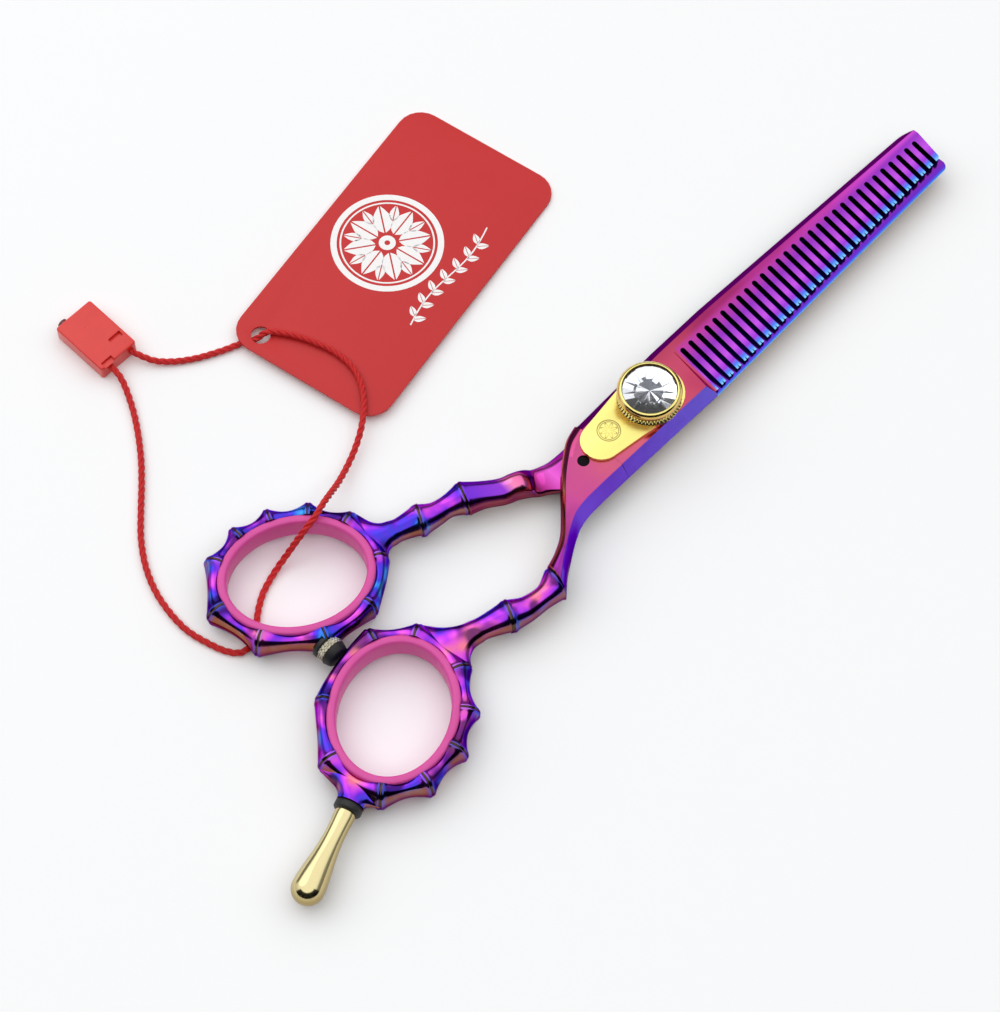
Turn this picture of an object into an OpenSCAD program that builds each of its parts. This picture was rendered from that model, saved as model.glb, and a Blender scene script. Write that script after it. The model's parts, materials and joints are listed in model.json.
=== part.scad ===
// Thinning shears with bamboo-pattern handles, a tension knob, a finger rest and a hang tag.
// The origin is on the pivot axis, in the plane that the shears rest on.
// +X runs to the blade tips, +Z up out of the knob.

/* [Blades] */
// Distance from the pivot axis to the blade tips
blade_reach = 72.5; // [72:0.5:74]
// Thickness of each blade
blade_t = 2.6; // [2.4:0.1:2.6]
// Height of the plane in which the blades ride on each other
ride_z = 4.4; // [4.4:0.1:4.5]
// Clearance of each blade from that plane
ride_gap = 0.05; // [0.04:0.01:0.08]
// Width that a spine's bevel takes from a blade's outer face
bevel_w = 1.8; // [1.4:0.1:1.8]

/* [Comb] */
// Number of slots between the teeth
slot_count = 30; // [26:1:30]
// Distance from the pivot axis to the middle of the first slot
first_slot_x = 11.3; // [11.2:0.1:11.6]
// Distance from one slot to the next
slot_pitch = 2.04; // [2:0.01:2.04]
// Width of a slot
slot_w = 0.95; // [0.7:0.05:1.1]
// Depth of the notch in a tooth's tip
notch_depth = 0.6; // [0.3:0.1:0.8]
// Slope of the hollow that thins the comb towards its teeth, in degrees
hollow_slope = 10; // [8:1:10]

/* [Pivot] */
// Diameter of the pivot screw's plain shank
shank_d = 4.4; // [4:0.1:4.4]
// Running clearance on the radius, in the bush
bush_gap = 0.04; // [0.02:0.01:0.06]
// Diameter of the pivot screw's head, which the shears rest on
head_d = 9.6; // [9:0.1:10]
// Thickness of the click plate
plate_t = 0.6; // [0.5:0.1:0.7]
// Diameter of the tension knob's serrated foot
knob_d = 11.6; // [11.2:0.1:11.8]
// Height of the tension knob
knob_h = 3.55; // [3.5:0.05:3.8]
// Number of serrations around the knob's foot
serration_count = 40; // [30:2:48]
// Diameter of the crystal in the knob
gem_d = 9.2; // [9:0.1:9.2]

/* [Handles] */
// Height of the middle of the finger rings
ring_z = 3.75; // [3.75:0.05:3.9]
// Long half-axis of a ring's centre line
ring_a = 13.9; // [13.8:0.1:14]
// Short half-axis of a ring's centre line
ring_b = 11.4; // [11.3:0.1:11.5]
// Half-width of a bamboo joint around a ring
joint_w = 2.8; // [2.6:0.1:3]
// Height of a joint's top above the middle of a ring
joint_rise = 3; // [2.8:0.1:3.2]
// Half-width of the waist between two joints
waist_w = 1.2; // [1.1:0.1:1.4]
// Half-height of the waist between two joints
waist_h = 2; // [1.9:0.1:2.1]
// Tilt of the thumb ring's long axis, in degrees
thumb_tilt = -31.6; // [-33:0.1:-30]
// Tilt of the finger ring's long axis, in degrees
finger_tilt = 32.7; // [32:0.1:34]

/* [Ring inserts] */
// Long half-axis of an insert's opening
insert_a = 11.7; // [11.5:0.1:11.7]
// Short half-axis of an insert's opening
insert_b = 9.25; // [9:0.05:9.3]
// Thickness of an insert's wall
insert_wall = 0.65; // [0.6:0.05:0.7]
// Reach of an insert's flanges, measured from its opening
insert_flange = 1.6; // [1.4:0.1:1.6]
// Height of an insert
insert_h = 4.9; // [4.7:0.1:4.9]

/* [Finger rest and bumper] */
// Length of the finger rest, without its stud
rest_len = 18.6; // [17:0.1:19]
// Diameter of the finger rest's ball end
rest_ball_d = 5.6; // [5.4:0.1:5.8]
// Diameter of the finger rest's stud
rest_stud_d = 2.4; // [2.2:0.1:2.6]
// Diameter of the bumper's collar
bumper_d = 4.9; // [4.6:0.1:5]

/* [Hang tag] */
// Length of the tag's card
tag_len = 58; // [57.5:0.1:58]
// Width of the tag's card
tag_w = 31.6; // [31:0.1:32]
// Thickness of the card
tag_t = 0.5; // [0.4:0.05:0.5]
// Diameter of the cord
cord_d = 1.2; // [1.1:0.05:1.2]
// Width of the seal
seal_w = 8; // [7.8:0.1:8.2]
// Length of the seal
seal_len = 11.8; // [11.7:0.1:11.8]
// Height of the seal
seal_h = 3.2; // [3:0.1:3.4]

/* [Hidden] */
eps = 0.01;
$fn = 64;

// Ride faces and outer faces of the blades
comb_low = ride_z + ride_gap;
comb_top = comb_low + blade_t;
straight_top = ride_z - ride_gap;
straight_low = straight_top - blade_t;

// Comb blade: edges as [x, y] pairs
comb_start_x = -12;
comb_spine = [[comb_start_x, 5.95], [8, 6.8], [20, 6.9], [blade_reach - 2.6, 5.6]];
comb_back = [[comb_start_x, -6.95], [10, -6.9]];
slot_roots = [[11, 3.1], [39, 3.5], [70.5, 2.5]];
tooth_tips = [[10, -6.3], [71.5, -2.8]];
comb_tip_r = 2.6;

// Hollow of the comb: where it begins, the y of its upper edge, and its corner radius
hollow_x = 10;
hollow_y = 5.3;
hollow_corner_r = 2;

// Comb shoulder: stations from the ricasso to the first bamboo joint. Each has the back edge
// [x, y], the cheek edge [x, y], its roundness from 0 to 1, and its mid height and half-height
comb_shoulder = [
    [comb_back[0], comb_spine[0], 0, 5.7, 1.3],
    [[-15.6, -6.95], [-15, 5], 0, 5.7, 1.3],
    [[-18.8, -7], [-18, 3], 0, 5.7, 1.3],
    [[-21.6, -7.15], [-20.6, 0.9], 0.04, 5.7, 1.35],
    [[-24.2, -7.6], [-23, -1.4], 0.12, 5.5, 1.5],
    [[-26.8, -8.8], [-25.6, -4], 0.3, 5.2, 1.75],
    [[-29.4, -10.4], [-28.3, -6.4], 0.5, 4.9, 2.1],
    [[-32, -12.2], [-31, -7.8], 0.75, 4.5, 2.6],
    [[-35.3, -14.8], [-33.9, -8.8], 1, 4.1, 3.2]
];

// Straight blade: edges as [x, y] pairs
straight_spine = [[10, -6.9], [blade_reach - 1.6, -4.7]];
straight_back = [[-11, -6.9], [10, -6.9]];
straight_cheek = [[-27.2, 4.4], [-24.6, 1.6], [-19, -3.2], [-14.5, -6.2], [-11, -6.9]];
cutting_edge = [[12, 3.6], [blade_reach - 0.8, 2.6]];
straight_flank = [
    [10.5, 5.8], [8, 6.4], [-12, 5.4], [-18, 5.3], [-21.5, 6], [-25.6, 7.4], [-27.2, 7.2]
];
straight_tip_r = 1.5;

// Grind under the straight blade: where it begins, its width, and the edge that it leaves
grind_start = [10, -4.4];
grind_w = 8;
edge_t = 0.3;

// Neck of the straight half, from its knuckle to the first bamboo joint, as stations
// [x, y, z, half-width, half-height]
straight_neck = [
    [-23.6, 3.4, 3.1, 1.5, 1.2], [-24.5, 4, 3.5, 2.6, 2], [-26.2, 5, 3.9, 3, 2.5],
    [-28.6, 6.5, 4, 2.5, 2.4], [-31.6, 8.6, 4, 2.4, 2.5], [-34.4, 10.4, 4, 3.1, 3.1]
];

// Shanks: stations from the first bamboo joint to the ring
thumb_shank = [
    [-34.4, 10.4, 4, 3.1, 3.1], [-35, 10.6, 4, 2.5, 2.6], [-37.2, 11.2, 4, 1.95, 2.1],
    [-39.6, 11.7, 3.9, 2.1, 2.2], [-42.3, 12.8, 3.8, 3.1, 3.1], [-43, 13.1, 3.8, 2.5, 2.6],
    [-45.8, 14, ring_z, 2, 2.1], [-48, 14.8, ring_z, 2.4, 2.2], [-49.8, 15.8, ring_z, 3.4, 2.2],
    [-51.4, 16.7, ring_z, 4.5, 2.1]
];
finger_shank = [
    [-34.6, -11.8, 4.1, 3.1, 3.2], [-36.4, -12.1, 4.1, 2.3, 2.5], [-38.4, -12, 4, 1.95, 2.2],
    [-41.4, -11.5, 3.9, 2.2, 2.3], [-44.4, -10.3, 3.8, 3.1, 3.2], [-45.1, -10, 3.8, 2.6, 2.7],
    [-48.6, -8.8, ring_z, 2, 2.1], [-52, -8, ring_z, 2.5, 2.2], [-54.2, -7.2, ring_z, 3.5, 2.2],
    [-56, -6.3, ring_z, 4, 2.1]
];
// Headings of the shanks at the first joints, where the blades are welded on, in degrees
thumb_weld_dir = 157;
finger_weld_dir = 167;

// Rings: centre, and for each bamboo joint its direction in degrees and its half-width
slim_joint_w = joint_w - 0.9;
thumb_centre = [-64.25, 19.5];
thumb_joints = [
    [6, joint_w], [37, joint_w], [69.5, joint_w], [98, joint_w], [124, joint_w],
    [160, joint_w], [197, joint_w], [249, joint_w], [292, slim_joint_w], [329, slim_joint_w]
];
finger_centre = [-70, -9.2];
finger_joints = [
    [30.7, joint_w], [60.5, joint_w], [125, slim_joint_w], [174.5, joint_w], [217, joint_w],
    [247.6, joint_w], [281.5, joint_w], [315.6, joint_w], [350, joint_w]
];
// A joint reaches down to the resting plane
joint_h = (joint_rise + ring_z) / 2;
joint_z = joint_h;
ring_gap = 0.03;
neck_a = insert_a + insert_wall;
neck_b = insert_b + insert_wall;
flange_a = insert_a + insert_flange;
flange_b = insert_b + insert_flange;
flange_t = 0.75;
flange_low = ring_z - insert_h / 2;

// Finger rest: root of its axis at its seat on the finger ring, its direction, and its stud
rest_root = [-86, -15.3];
rest_dir = 200.5;
rest_washer_t = 1.6;
rest_stud_reach = 2.9;
stud_hole_depth = 3.5;
// Where the finger ring widens into the seat of the finger rest
rest_flare = [
    [-81.3, -13.5, ring_z, 4.4, 2], [-82.6, -14, ring_z, 3.7, 2.2], [-83.9, -14.5, ring_z, 3, 2.35],
    [-85.1, -14.9, ring_z, 2.55, 2.4], [rest_root[0], rest_root[1], ring_z, 2.4, 2.4]
];

// Bumper: its axis runs along -Y, and each piece spans these y values
bumper_x = -69.3;
bumper_seat_y = 8.2;
bumper_base_y = 7.3;
bumper_collar_y = 5.9;
bumper_tip_y = 4.5;
bumper_stud_d = 1.6;

// Pivot stack
thread_d = 3.5;
plate_top = comb_top + plate_t;
knob_low = plate_top + 0.1;
knob_top = knob_low + knob_h;
washer_d = 8.2;
washer_depth = 0.5;
bush_d = 6;
pin_at = [-16.1, -0.1];
pin_d = 2.1;
pin_low = comb_top - 1.8;
gem_z = knob_top - 0.9;
plate_end = [1.5, 0.2];

// Hang tag: centre, turn and tilt, which lets the cord pass under one end
tag_centre = [-8.4, 52.8];
tag_turn = 11;
tag_tilt = 1.3;
tag_hole = [-25.6, 10.8];
tag_hole_d = 3.4;
tag_corner = 4.5;

// Seal: centre of its plan, and the y at which the cord leaves it
seal_centre = [-56, 78.2];
seal_mouth_y = seal_centre[1] - seal_len / 2;

// Cord: its centre line from one mouth of the seal to the other, [x, y, z]
cord_route = [
    [-53.4, seal_mouth_y, 1.7], [-52.8, 70.4, 1.5], [-51.5, 68, 1], [-49, 65.6, 0.7],
    [-45.8, 63.4, 0.65], [-42.2, 61.6, 0.65], [-40, 60.7, 0.65], [-38.4, 60.1, 0.65],
    [-37.1, 59.4, 0.65], [-36.3, 58.9, 0.9], [-35.6, 58.5, 1.5], [-34.9, 58.1, 2.15],
    [-34.1, 57.4, 2.5], [-33, 55.9, 2.55], [-31.6, 53.6, 2.5], [-30.3, 50.6, 2.45],
    [-29.2, 47, 2.4], [-29, 43.2, 2.4], [-30, 39.6, 2.4], [-32.4, 36.2, 2.45],
    [-35.8, 33.2, 2.5], [-39.4, 31.1, 1.9], [-43.2, 29.4, 1.9], [-46.8, 27.8, 3.2],
    [-49.8, 26.4, 5.5], [-52.4, 25.3, 7.1], [-55, 24.4, 7.5], [-57.6, 24.2, 6.6],
    [-59.8, 24.4, 4.6], [-61.8, 24.6, 2.5], [-64, 24.5, 1.2], [-66.6, 23.9, 0.7],
    [-69.2, 22.9, 0.62], [-71.6, 21.4, 0.62], [-73.6, 19.8, 0.62], [-75.4, 18.5, 0.62],
    [-77.4, 17.5, 0.62], [-79.3, 17.9, 0.62], [-80.7, 19.8, 0.62], [-81.8, 23, 0.65],
    [-82.6, 27, 0.65], [-82.4, 31.4, 0.65], [-81.4, 36, 0.65], [-79.4, 40.6, 0.65],
    [-76.4, 45, 0.65], [-72.8, 48.9, 0.65], [-69.4, 52.4, 0.65], [-66.2, 56, 0.65],
    [-63.2, 60, 0.65], [-60.8, 63.8, 0.7], [-59, 67.4, 1], [-58.1, 70, 1.5],
    [-57.9, seal_mouth_y, 1.7]
];

// Value at x on a chain of [x, y] pairs
function along(chain, x) = lookup(x, chain);

// Heading of a path at point i, in degrees, in plan
function heading(path, i, closed) =
    let (
        n = len(path),
        a = path[closed ? (i + n - 1) % n : max(i - 1, 0)],
        b = path[closed ? (i + 1) % n : min(i + 1, n - 1)]
    )
    atan2(b[1] - a[1], b[0] - a[0]);

// Corners of the ricasso's cross-section: [across, up], where 1 across is the back edge, with
// its wide bevel, and -1 is the cheek edge
back_bevel = bevel_w / 6.9;
ricasso_corners = [
    [1, 0], [1 - back_bevel / 2, 0.5], [1 - back_bevel, 1], [0.25, 1], [-0.25, 1], [-0.84, 1],
    [-0.95, 0.6], [-1, 0], [-0.7, 0], [-0.25, 0], [0.25, 0], [0.7, 0]
];
// Directions of the same corners around a rounded section, in degrees
round_corners = [0, 27, 57, 80, 100, 124, 152, 180, 236, 258, 282, 304];

// Cross-section of the comb's shoulder at a station: the ricasso's, rounded off step by step
function shoulder_section(s) =
    let (
        mid = (s[0] + s[1]) / 2,
        half = (s[0] - s[1]) / 2
    )
    [
        for (k = [0 : len(round_corners) - 1])
            let (
                a = round_corners[k],
                across = ricasso_corners[k][0] * (1 - s[2]) + cos(a) * s[2],
                flat_z = comb_low + blade_t * ricasso_corners[k][1],
                z = flat_z * (1 - s[2]) + (s[3] + s[4] * sin(a)) * s[2]
            )
            [mid[0] + half[0] * across, mid[1] + half[1] * across, z]
    ];

// Closed skin over sections that have the same number of points
module skin(sections) {
    n = len(sections);
    sides = len(sections[0]);
    walls = [
        for (i = [0 : n - 2], k = [0 : sides - 1])
            let (m = (k + 1) % sides)
            each [
                [i * sides + k, (i + 1) * sides + k, i * sides + m],
                [(i + 1) * sides + k, (i + 1) * sides + m, i * sides + m]
            ]
    ];
    ends = [
        [for (k = [0 : sides - 1]) k],
        [for (k = [sides - 1 : -1 : 0]) (n - 1) * sides + k]
    ];
    polyhedron([for (s = sections) each s], concat(walls, ends));
}

// Elliptical cross-section around a station [x, y, z, half-width, half-height]
function section(s, dir, sides) = [
    for (k = [0 : sides - 1])
        let (a = 360 * k / sides)
        [s[0] - sin(dir) * s[3] * cos(a), s[1] + cos(dir) * s[3] * cos(a), s[2] + s[4] * sin(a)]
];

// Tube with elliptical sections along a list of stations, with a given heading at its first or
// last station if one is stated
module swept_tube(path, first_dir = undef, last_dir = undef, sides = 16) {
    last = len(path) - 1;
    skin([
        for (i = [0 : last])
            let (dir = i == 0 && !is_undef(first_dir) ? first_dir
                : i == last && !is_undef(last_dir) ? last_dir : heading(path, i, false))
            section(path[i], dir, sides)
    ]);
}

// Closed ring with elliptical sections along a list of stations
module swept_ring(path, sides = 16) {
    n = len(path);
    walls = [
        for (i = [0 : n - 1], k = [0 : sides - 1])
            let (j = (i + 1) % n, m = (k + 1) % sides)
            each [
                [i * sides + k, j * sides + k, i * sides + m],
                [j * sides + k, j * sides + m, i * sides + m]
            ]
    ];
    polyhedron([for (i = [0 : n - 1]) each section(path[i], heading(path, i, true), sides)], walls);
}

function unit(v) = v / norm(v);

// Round tube along free points in space, with its first side kept level
module cord_tube(route, d, sides = 8) {
    last = len(route) - 1;
    skin([
        for (i = [0 : last])
            let (
                ahead = unit(route[min(i + 1, last)] - route[max(i - 1, 0)]),
                side = unit(cross([0, 0, 1], ahead)),
                up = cross(ahead, side)
            )
            [
                for (k = [0 : sides - 1])
                    let (a = 360 * (k + 0.5) / sides)
                    route[i] + d / 2 * (cos(a) * side + sin(a) * up)
            ]
    ]);
}

// Points of a tilted ellipse
function ellipse(a, b, tilt, count = 60) = [
    for (i = [0 : count - 1])
        let (t = 360 * i / count)
        [a * cos(t) * cos(tilt) - b * sin(t) * sin(tilt),
         a * cos(t) * sin(tilt) + b * sin(t) * cos(tilt)]
];

// Ellipse parameter at which a tilted ellipse is seen in a given direction
function ellipse_param(a, b, tilt, dir) = atan2(a * sin(dir - tilt), b * cos(dir - tilt));

// Stations of a bamboo ring: it swells to a joint in each direction and narrows between them
function bamboo_ring(centre, tilt, joints, steps = 6) = [
    for (j = [0 : len(joints) - 1], s = [0 : steps - 1])
        let (
            next = joints[(j + 1) % len(joints)],
            from = joints[j][0],
            to = next[0] + (next[0] < from ? 360 : 0),
            u = s / steps,
            dir = from + (to - from) * u,
            t = ellipse_param(ring_a, ring_b, tilt, dir),
            swell = pow(abs(2 * u - 1), 2.4),
            full_w = u < 0.5 ? joints[j][1] : next[1],
            x = ring_a * cos(t),
            y = ring_b * sin(t)
        )
        [centre[0] + x * cos(tilt) - y * sin(tilt),
         centre[1] + x * sin(tilt) + y * cos(tilt),
         ring_z + (joint_z - ring_z) * swell,
         waist_w + (full_w - waist_w) * swell,
         waist_h + (joint_h - waist_h) * swell]
];

// Prism that bevels a blade's edge from its ride face (side = 1 cuts to the left of p to q)
module edge_bevel(p, q, z, rise, width, side) {
    span = norm(q - p);
    turn = atan2(q[1] - p[1], q[0] - p[0]);
    translate([p[0], p[1], z])
        rotate([0, 0, turn])
            translate([-2, 0, 0])
                rotate([90, 0, 90])
                    linear_extrude(span + 4)
                        polygon([
                            [side * eps, 0], [side * 6, 0],
                            [side * 6, rise * 1.1], [-side * width * 1.1, rise * 1.1]
                        ]);
}

// Space inside a ring: the neck of the insert with a recess for each flange
module ring_seat(centre, tilt) {
    recess_low = flange_low + flange_t + ring_gap;
    recess_high = flange_low + insert_h - flange_t - ring_gap;
    translate([centre[0], centre[1], 0]) {
        translate([0, 0, -1])
            linear_extrude(12)
                polygon(ellipse(neck_a + ring_gap, neck_b + ring_gap, tilt));
        for (low = [recess_low - 10, recess_high])
            translate([0, 0, low])
                linear_extrude(10)
                    polygon(ellipse(flange_a + ring_gap, flange_b + ring_gap, tilt));
    }
}

// Soft ring with a flange above and below the metal
module ring_insert(centre, tilt) {
    translate([centre[0], centre[1], flange_low])
        difference() {
            union() {
                linear_extrude(insert_h)
                    polygon(ellipse(neck_a, neck_b, tilt));
                for (z = [0, insert_h - flange_t])
                    translate([0, 0, z])
                        linear_extrude(flange_t)
                            polygon(ellipse(flange_a, flange_b, tilt));
            }
            translate([0, 0, -1])
                linear_extrude(insert_h + 2)
                    polygon(ellipse(insert_a, insert_b, tilt));
        }
}

// Places children with +Z along the finger rest's axis, starting at the face of its seat
module on_rest_axis() {
    translate([rest_root[0], rest_root[1], ring_z])
        rotate([0, 90, rest_dir])
            children();
}

// Places children with +Z along the bumper's axis, starting at a y value
module on_bumper_axis(y) {
    translate([bumper_x, y, ring_z])
        rotate([90, 0, 0])
            children();
}

// Outline of the comb blade at its ride face, before its slots are cut
module comb_outline() {
    tip = [comb_spine[3][0], comb_spine[3][1] - comb_tip_r];
    polygon(concat(
        [[blade_reach - 0.5, -2.4]],
        [for (a = [0 : 15 : 90]) tip + comb_tip_r * [cos(a), sin(a)]],
        [for (i = [2 : -1 : 0]) comb_spine[i]],
        comb_back,
        tooth_tips
    ));
}

// One slot between two teeth
module slot(x) {
    root = along(slot_roots, x) - slot_w / 2;
    translate([x - slot_w / 2, -10])
        square([slot_w, root + 10]);
    translate([x, root])
        circle(d = slot_w, $fn = 24);
}

// Notch that splits a tooth's tip into two points
module tip_notch(x) {
    y = along(tooth_tips, x);
    polygon([[x - 0.3, y - 1], [x + 0.3, y - 1], [x + 0.12, y], [x, y + notch_depth], [x - 0.12, y]]);
}

// Flat part of the comb blade, from the shoulder to the tip
module comb_plate() {
    difference() {
        translate([0, 0, comb_low])
            linear_extrude(blade_t)
                difference() {
                    comb_outline();
                    for (i = [0 : slot_count - 1])
                        slot(first_slot_x + i * slot_pitch);
                    for (i = [1 : slot_count - 1])
                        tip_notch(first_slot_x + (i - 0.5) * slot_pitch);
                }
        // Spine and back bevels
        for (i = [0 : 1])
            edge_bevel(comb_spine[i], comb_spine[i + 1], comb_low, blade_t, bevel_w, 1);
        edge_bevel(comb_spine[2], comb_spine[3] + [2, -0.05], comb_low, blade_t, bevel_w, 1);
        edge_bevel(comb_back[0], comb_back[1], comb_low, blade_t, bevel_w, -1);
        // Hollow that thins the comb, with a rounded corner where it begins
        translate([hollow_x, hollow_y, comb_top])
            rotate([hollow_slope, 0, 0]) {
                linear_extrude(6)
                    polygon(concat(
                        [[0, -20], [blade_reach, -20], [blade_reach, 0]],
                        [for (a = [90 : 15 : 180])
                            hollow_corner_r * [1 + cos(a), -1 + sin(a)]]
                    ));
                // Slanted wall at its start
                translate([0, -hollow_corner_r, 0])
                    rotate([90, 0, 0])
                        linear_extrude(20)
                            polygon([[0, 0], [6, 0], [6, 6], [-4, 6]]);
            }
    }
}

module comb_blade() {
    color([0.72, 0.22, 0.62])
        difference() {
            union() {
                comb_plate();
                skin([for (s = comb_shoulder) shoulder_section(s)]);
            }
            // Bore for the pivot screw and the pin's hole
            translate([0, 0, comb_low - 1])
                cylinder(d = shank_d + 0.02, h = blade_t + 2);
            translate([pin_at[0], pin_at[1], pin_low])
                cylinder(d = pin_d, h = 3);
        }
}

module comb_handle() {
    color([0.45, 0.2, 0.7])
        difference() {
            union() {
                swept_tube(finger_shank, first_dir = finger_weld_dir);
                swept_ring(bamboo_ring(finger_centre, finger_tilt, finger_joints));
                swept_tube(rest_flare, first_dir = rest_dir, last_dir = rest_dir);
            }
            ring_seat(finger_centre, finger_tilt);
            on_rest_axis()
                translate([0, 0, -stud_hole_depth])
                    cylinder(d = rest_stud_d + 0.06, h = stud_hole_depth + 1);
        }
}

module finger_ring_insert() {
    color([0.88, 0.33, 0.67])
        ring_insert(finger_centre, finger_tilt);
}

// Outline of the straight blade at its ride face
module straight_outline() {
    tip = [blade_reach - 1.6, -3.2];
    polygon(concat(
        straight_back,
        [for (a = [-90 : 15 : 0]) tip + straight_tip_r * [cos(a), sin(a)]],
        [cutting_edge[1], cutting_edge[0]],
        straight_flank,
        [for (i = [0 : 3]) straight_cheek[i]]
    ));
}

module straight_blade() {
    slope = atan2(blade_t - edge_t, grind_w);
    color([0.5, 0.22, 0.75])
        difference() {
            union() {
                translate([0, 0, straight_low])
                    linear_extrude(blade_t)
                        straight_outline();
                swept_tube(straight_neck, last_dir = thumb_weld_dir);
            }
            // Hollow grind under the blade, up to its cutting edge
            translate([grind_start[0], grind_start[1], straight_low])
                rotate([slope, 0, 0])
                    translate([0, 0, -6])
                        cube([blade_reach, 20, 6]);
            // Spine and back bevels, on the underside
            mirror([0, 0, 1]) {
                edge_bevel(straight_back[0], straight_back[1], -straight_top, blade_t, bevel_w, -1);
                edge_bevel(straight_spine[0], straight_spine[1], -straight_top, blade_t, bevel_w, -1);
            }
            // Seat of the bush and recess for the washer
            translate([0, 0, straight_low - 1])
                cylinder(d = bush_d, h = blade_t + 2);
            translate([0, 0, straight_top - washer_depth])
                cylinder(d = washer_d + 0.1, h = 1);
        }
}

module straight_handle() {
    color([0.38, 0.2, 0.72])
        difference() {
            union() {
                swept_tube(thumb_shank, first_dir = thumb_weld_dir);
                swept_ring(bamboo_ring(thumb_centre, thumb_tilt, thumb_joints));
            }
            ring_seat(thumb_centre, thumb_tilt);
            // Flat seat and hole for the bumper
            on_bumper_axis(bumper_seat_y)
                cylinder(d = bumper_d + 1.2, h = 6);
            on_bumper_axis(bumper_seat_y + 1.7)
                cylinder(d = bumper_stud_d + 0.04, h = 4);
        }
}

module thumb_ring_insert() {
    color([0.88, 0.33, 0.67])
        ring_insert(thumb_centre, thumb_tilt);
}

module pivot_bushing() {
    color([0.75, 0.55, 0.3])
        translate([0, 0, straight_low])
            difference() {
                cylinder(d = bush_d - 0.02, h = blade_t - washer_depth - 0.02);
                translate([0, 0, -1])
                    cylinder(d = shank_d + 2 * bush_gap, h = blade_t + 2);
            }
}

module pivot_washer() {
    color([0.93, 0.93, 0.9])
        translate([0, 0, straight_top - washer_depth])
            difference() {
                cylinder(d = washer_d, h = washer_depth + 0.04);
                translate([0, 0, -1])
                    cylinder(d = shank_d + 0.3, h = 3);
            }
}

module pivot_screw() {
    head_h = straight_low - 0.05;
    color([0.9, 0.8, 0.45])
        rotate_extrude()
            polygon([
                [0, 0], [head_d / 2 - 0.6, 0], [head_d / 2, 0.6], [head_d / 2, head_h],
                [shank_d / 2, head_h], [shank_d / 2, plate_top - 0.05],
                [thread_d / 2, plate_top - 0.05], [thread_d / 2, knob_low + 0.95],
                [thread_d / 2 - 0.3, knob_low + 1.15], [0, knob_low + 1.15]
            ]);
}

module click_plate() {
    color([0.95, 0.9, 0.5])
        translate([0, 0, comb_top])
            difference() {
                linear_extrude(plate_t)
                    difference() {
                        hull() {
                            translate([-11.5, 0.2])
                                circle(r = 3.6, $fn = 32);
                            translate(plate_end)
                                circle(r = 5.3, $fn = 32);
                        }
                        translate(pin_at)
                            circle(d = pin_d + 0.1);
                    }
                translate([0, 0, -1])
                    cylinder(d = shank_d + 0.1, h = 3);
            }
}

module plate_pin() {
    color([0.08, 0.07, 0.08])
        translate([pin_at[0], pin_at[1], pin_low])
            cylinder(d = pin_d - 0.02, h = 1.6);
}

module spring_washer() {
    color([0.75, 0.75, 0.78])
        translate([0, 0, plate_top])
            difference() {
                cylinder(d = washer_d, h = 0.3);
                translate([0, 0, -1])
                    cylinder(d = shank_d + 0.2, h = 3);
            }
}

// Serrated foot of the knob, seen from above
module serrated_disc(count) {
    polygon([
        for (i = [0 : 2 * count - 1])
            let (a = 180 * i / count, r = knob_d / 2 - (i % 2) * 0.3)
            r * [cos(a), sin(a)]
    ]);
}

module tension_knob() {
    foot_r = knob_d / 2;
    seat_r = gem_d / 2 + 0.03;
    bezel_r = foot_r - 0.2;
    groove_z = knob_low + 1.9;
    seat_z = knob_low + 1.5;
    color([0.93, 0.85, 0.5])
        difference() {
            union() {
                translate([0, 0, knob_low])
                    linear_extrude(0.5)
                        serrated_disc(serration_count);
                rotate_extrude()
                    polygon([
                        [0, knob_low + 0.3], [foot_r - 0.4, knob_low + 0.3],
                        [foot_r - 0.7, knob_low + 0.9], [foot_r - 0.9, groove_z],
                        [foot_r - 1, groove_z + 0.3], [bezel_r, groove_z + 0.5],
                        [bezel_r + 0.05, groove_z + 0.8], [seat_r + 0.35, knob_top],
                        [seat_r + 0.1, knob_top], [seat_r, gem_z + 0.1],
                        [seat_r, gem_z - 0.1], [0.8, seat_z], [0, seat_z]
                    ]);
            }
            // Thread and the recess over the spring washer
            translate([0, 0, knob_low - 1])
                cylinder(d = thread_d + 0.1, h = 2.2);
            translate([0, 0, knob_low - 1])
                cylinder(d = washer_d + 0.6, h = 1.25);
        }
}

module knob_gem() {
    r = gem_d / 2;
    color([0.95, 0.96, 1])
        translate([0, 0, gem_z])
            rotate_extrude()
                polygon([
                    [0, 0.9], [1.2, 0.72], [r, 0.15], [r, -0.08], [0.78, knob_low + 1.55 - gem_z],
                    [0, knob_low + 1.55 - gem_z]
                ]);
}

module finger_rest_washer() {
    color([0.06, 0.06, 0.07])
        on_rest_axis()
            rotate_extrude()
                polygon([
                    [rest_stud_d / 2 + 0.05, 0], [2.1, 0], [2.4, 0.4], [2.4, rest_washer_t - 0.4],
                    [2.1, rest_washer_t], [rest_stud_d / 2 + 0.05, rest_washer_t]
                ]);
}

module finger_rest() {
    ball_r = rest_ball_d / 2;
    neck = rest_len - rest_washer_t - ball_r;
    color([0.93, 0.83, 0.52])
        on_rest_axis()
            rotate_extrude()
                polygon(concat(
                    [[0, -rest_stud_reach], [rest_stud_d / 2, -rest_stud_reach],
                     [rest_stud_d / 2, rest_washer_t + 0.03]],
                    [for (u = [0 : 0.1 : 0.9])
                        [1.35 + 0.5 * pow(1 - u, 2) + (ball_r - 1.35) * pow(u, 3) * (4 - 3 * u),
                         rest_washer_t + 0.03 + neck * u]],
                    [for (a = [0 : 10 : 80])
                        [ball_r * cos(a), rest_washer_t + neck + ball_r * sin(a)]],
                    [[0, rest_len]]
                ));
}

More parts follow.
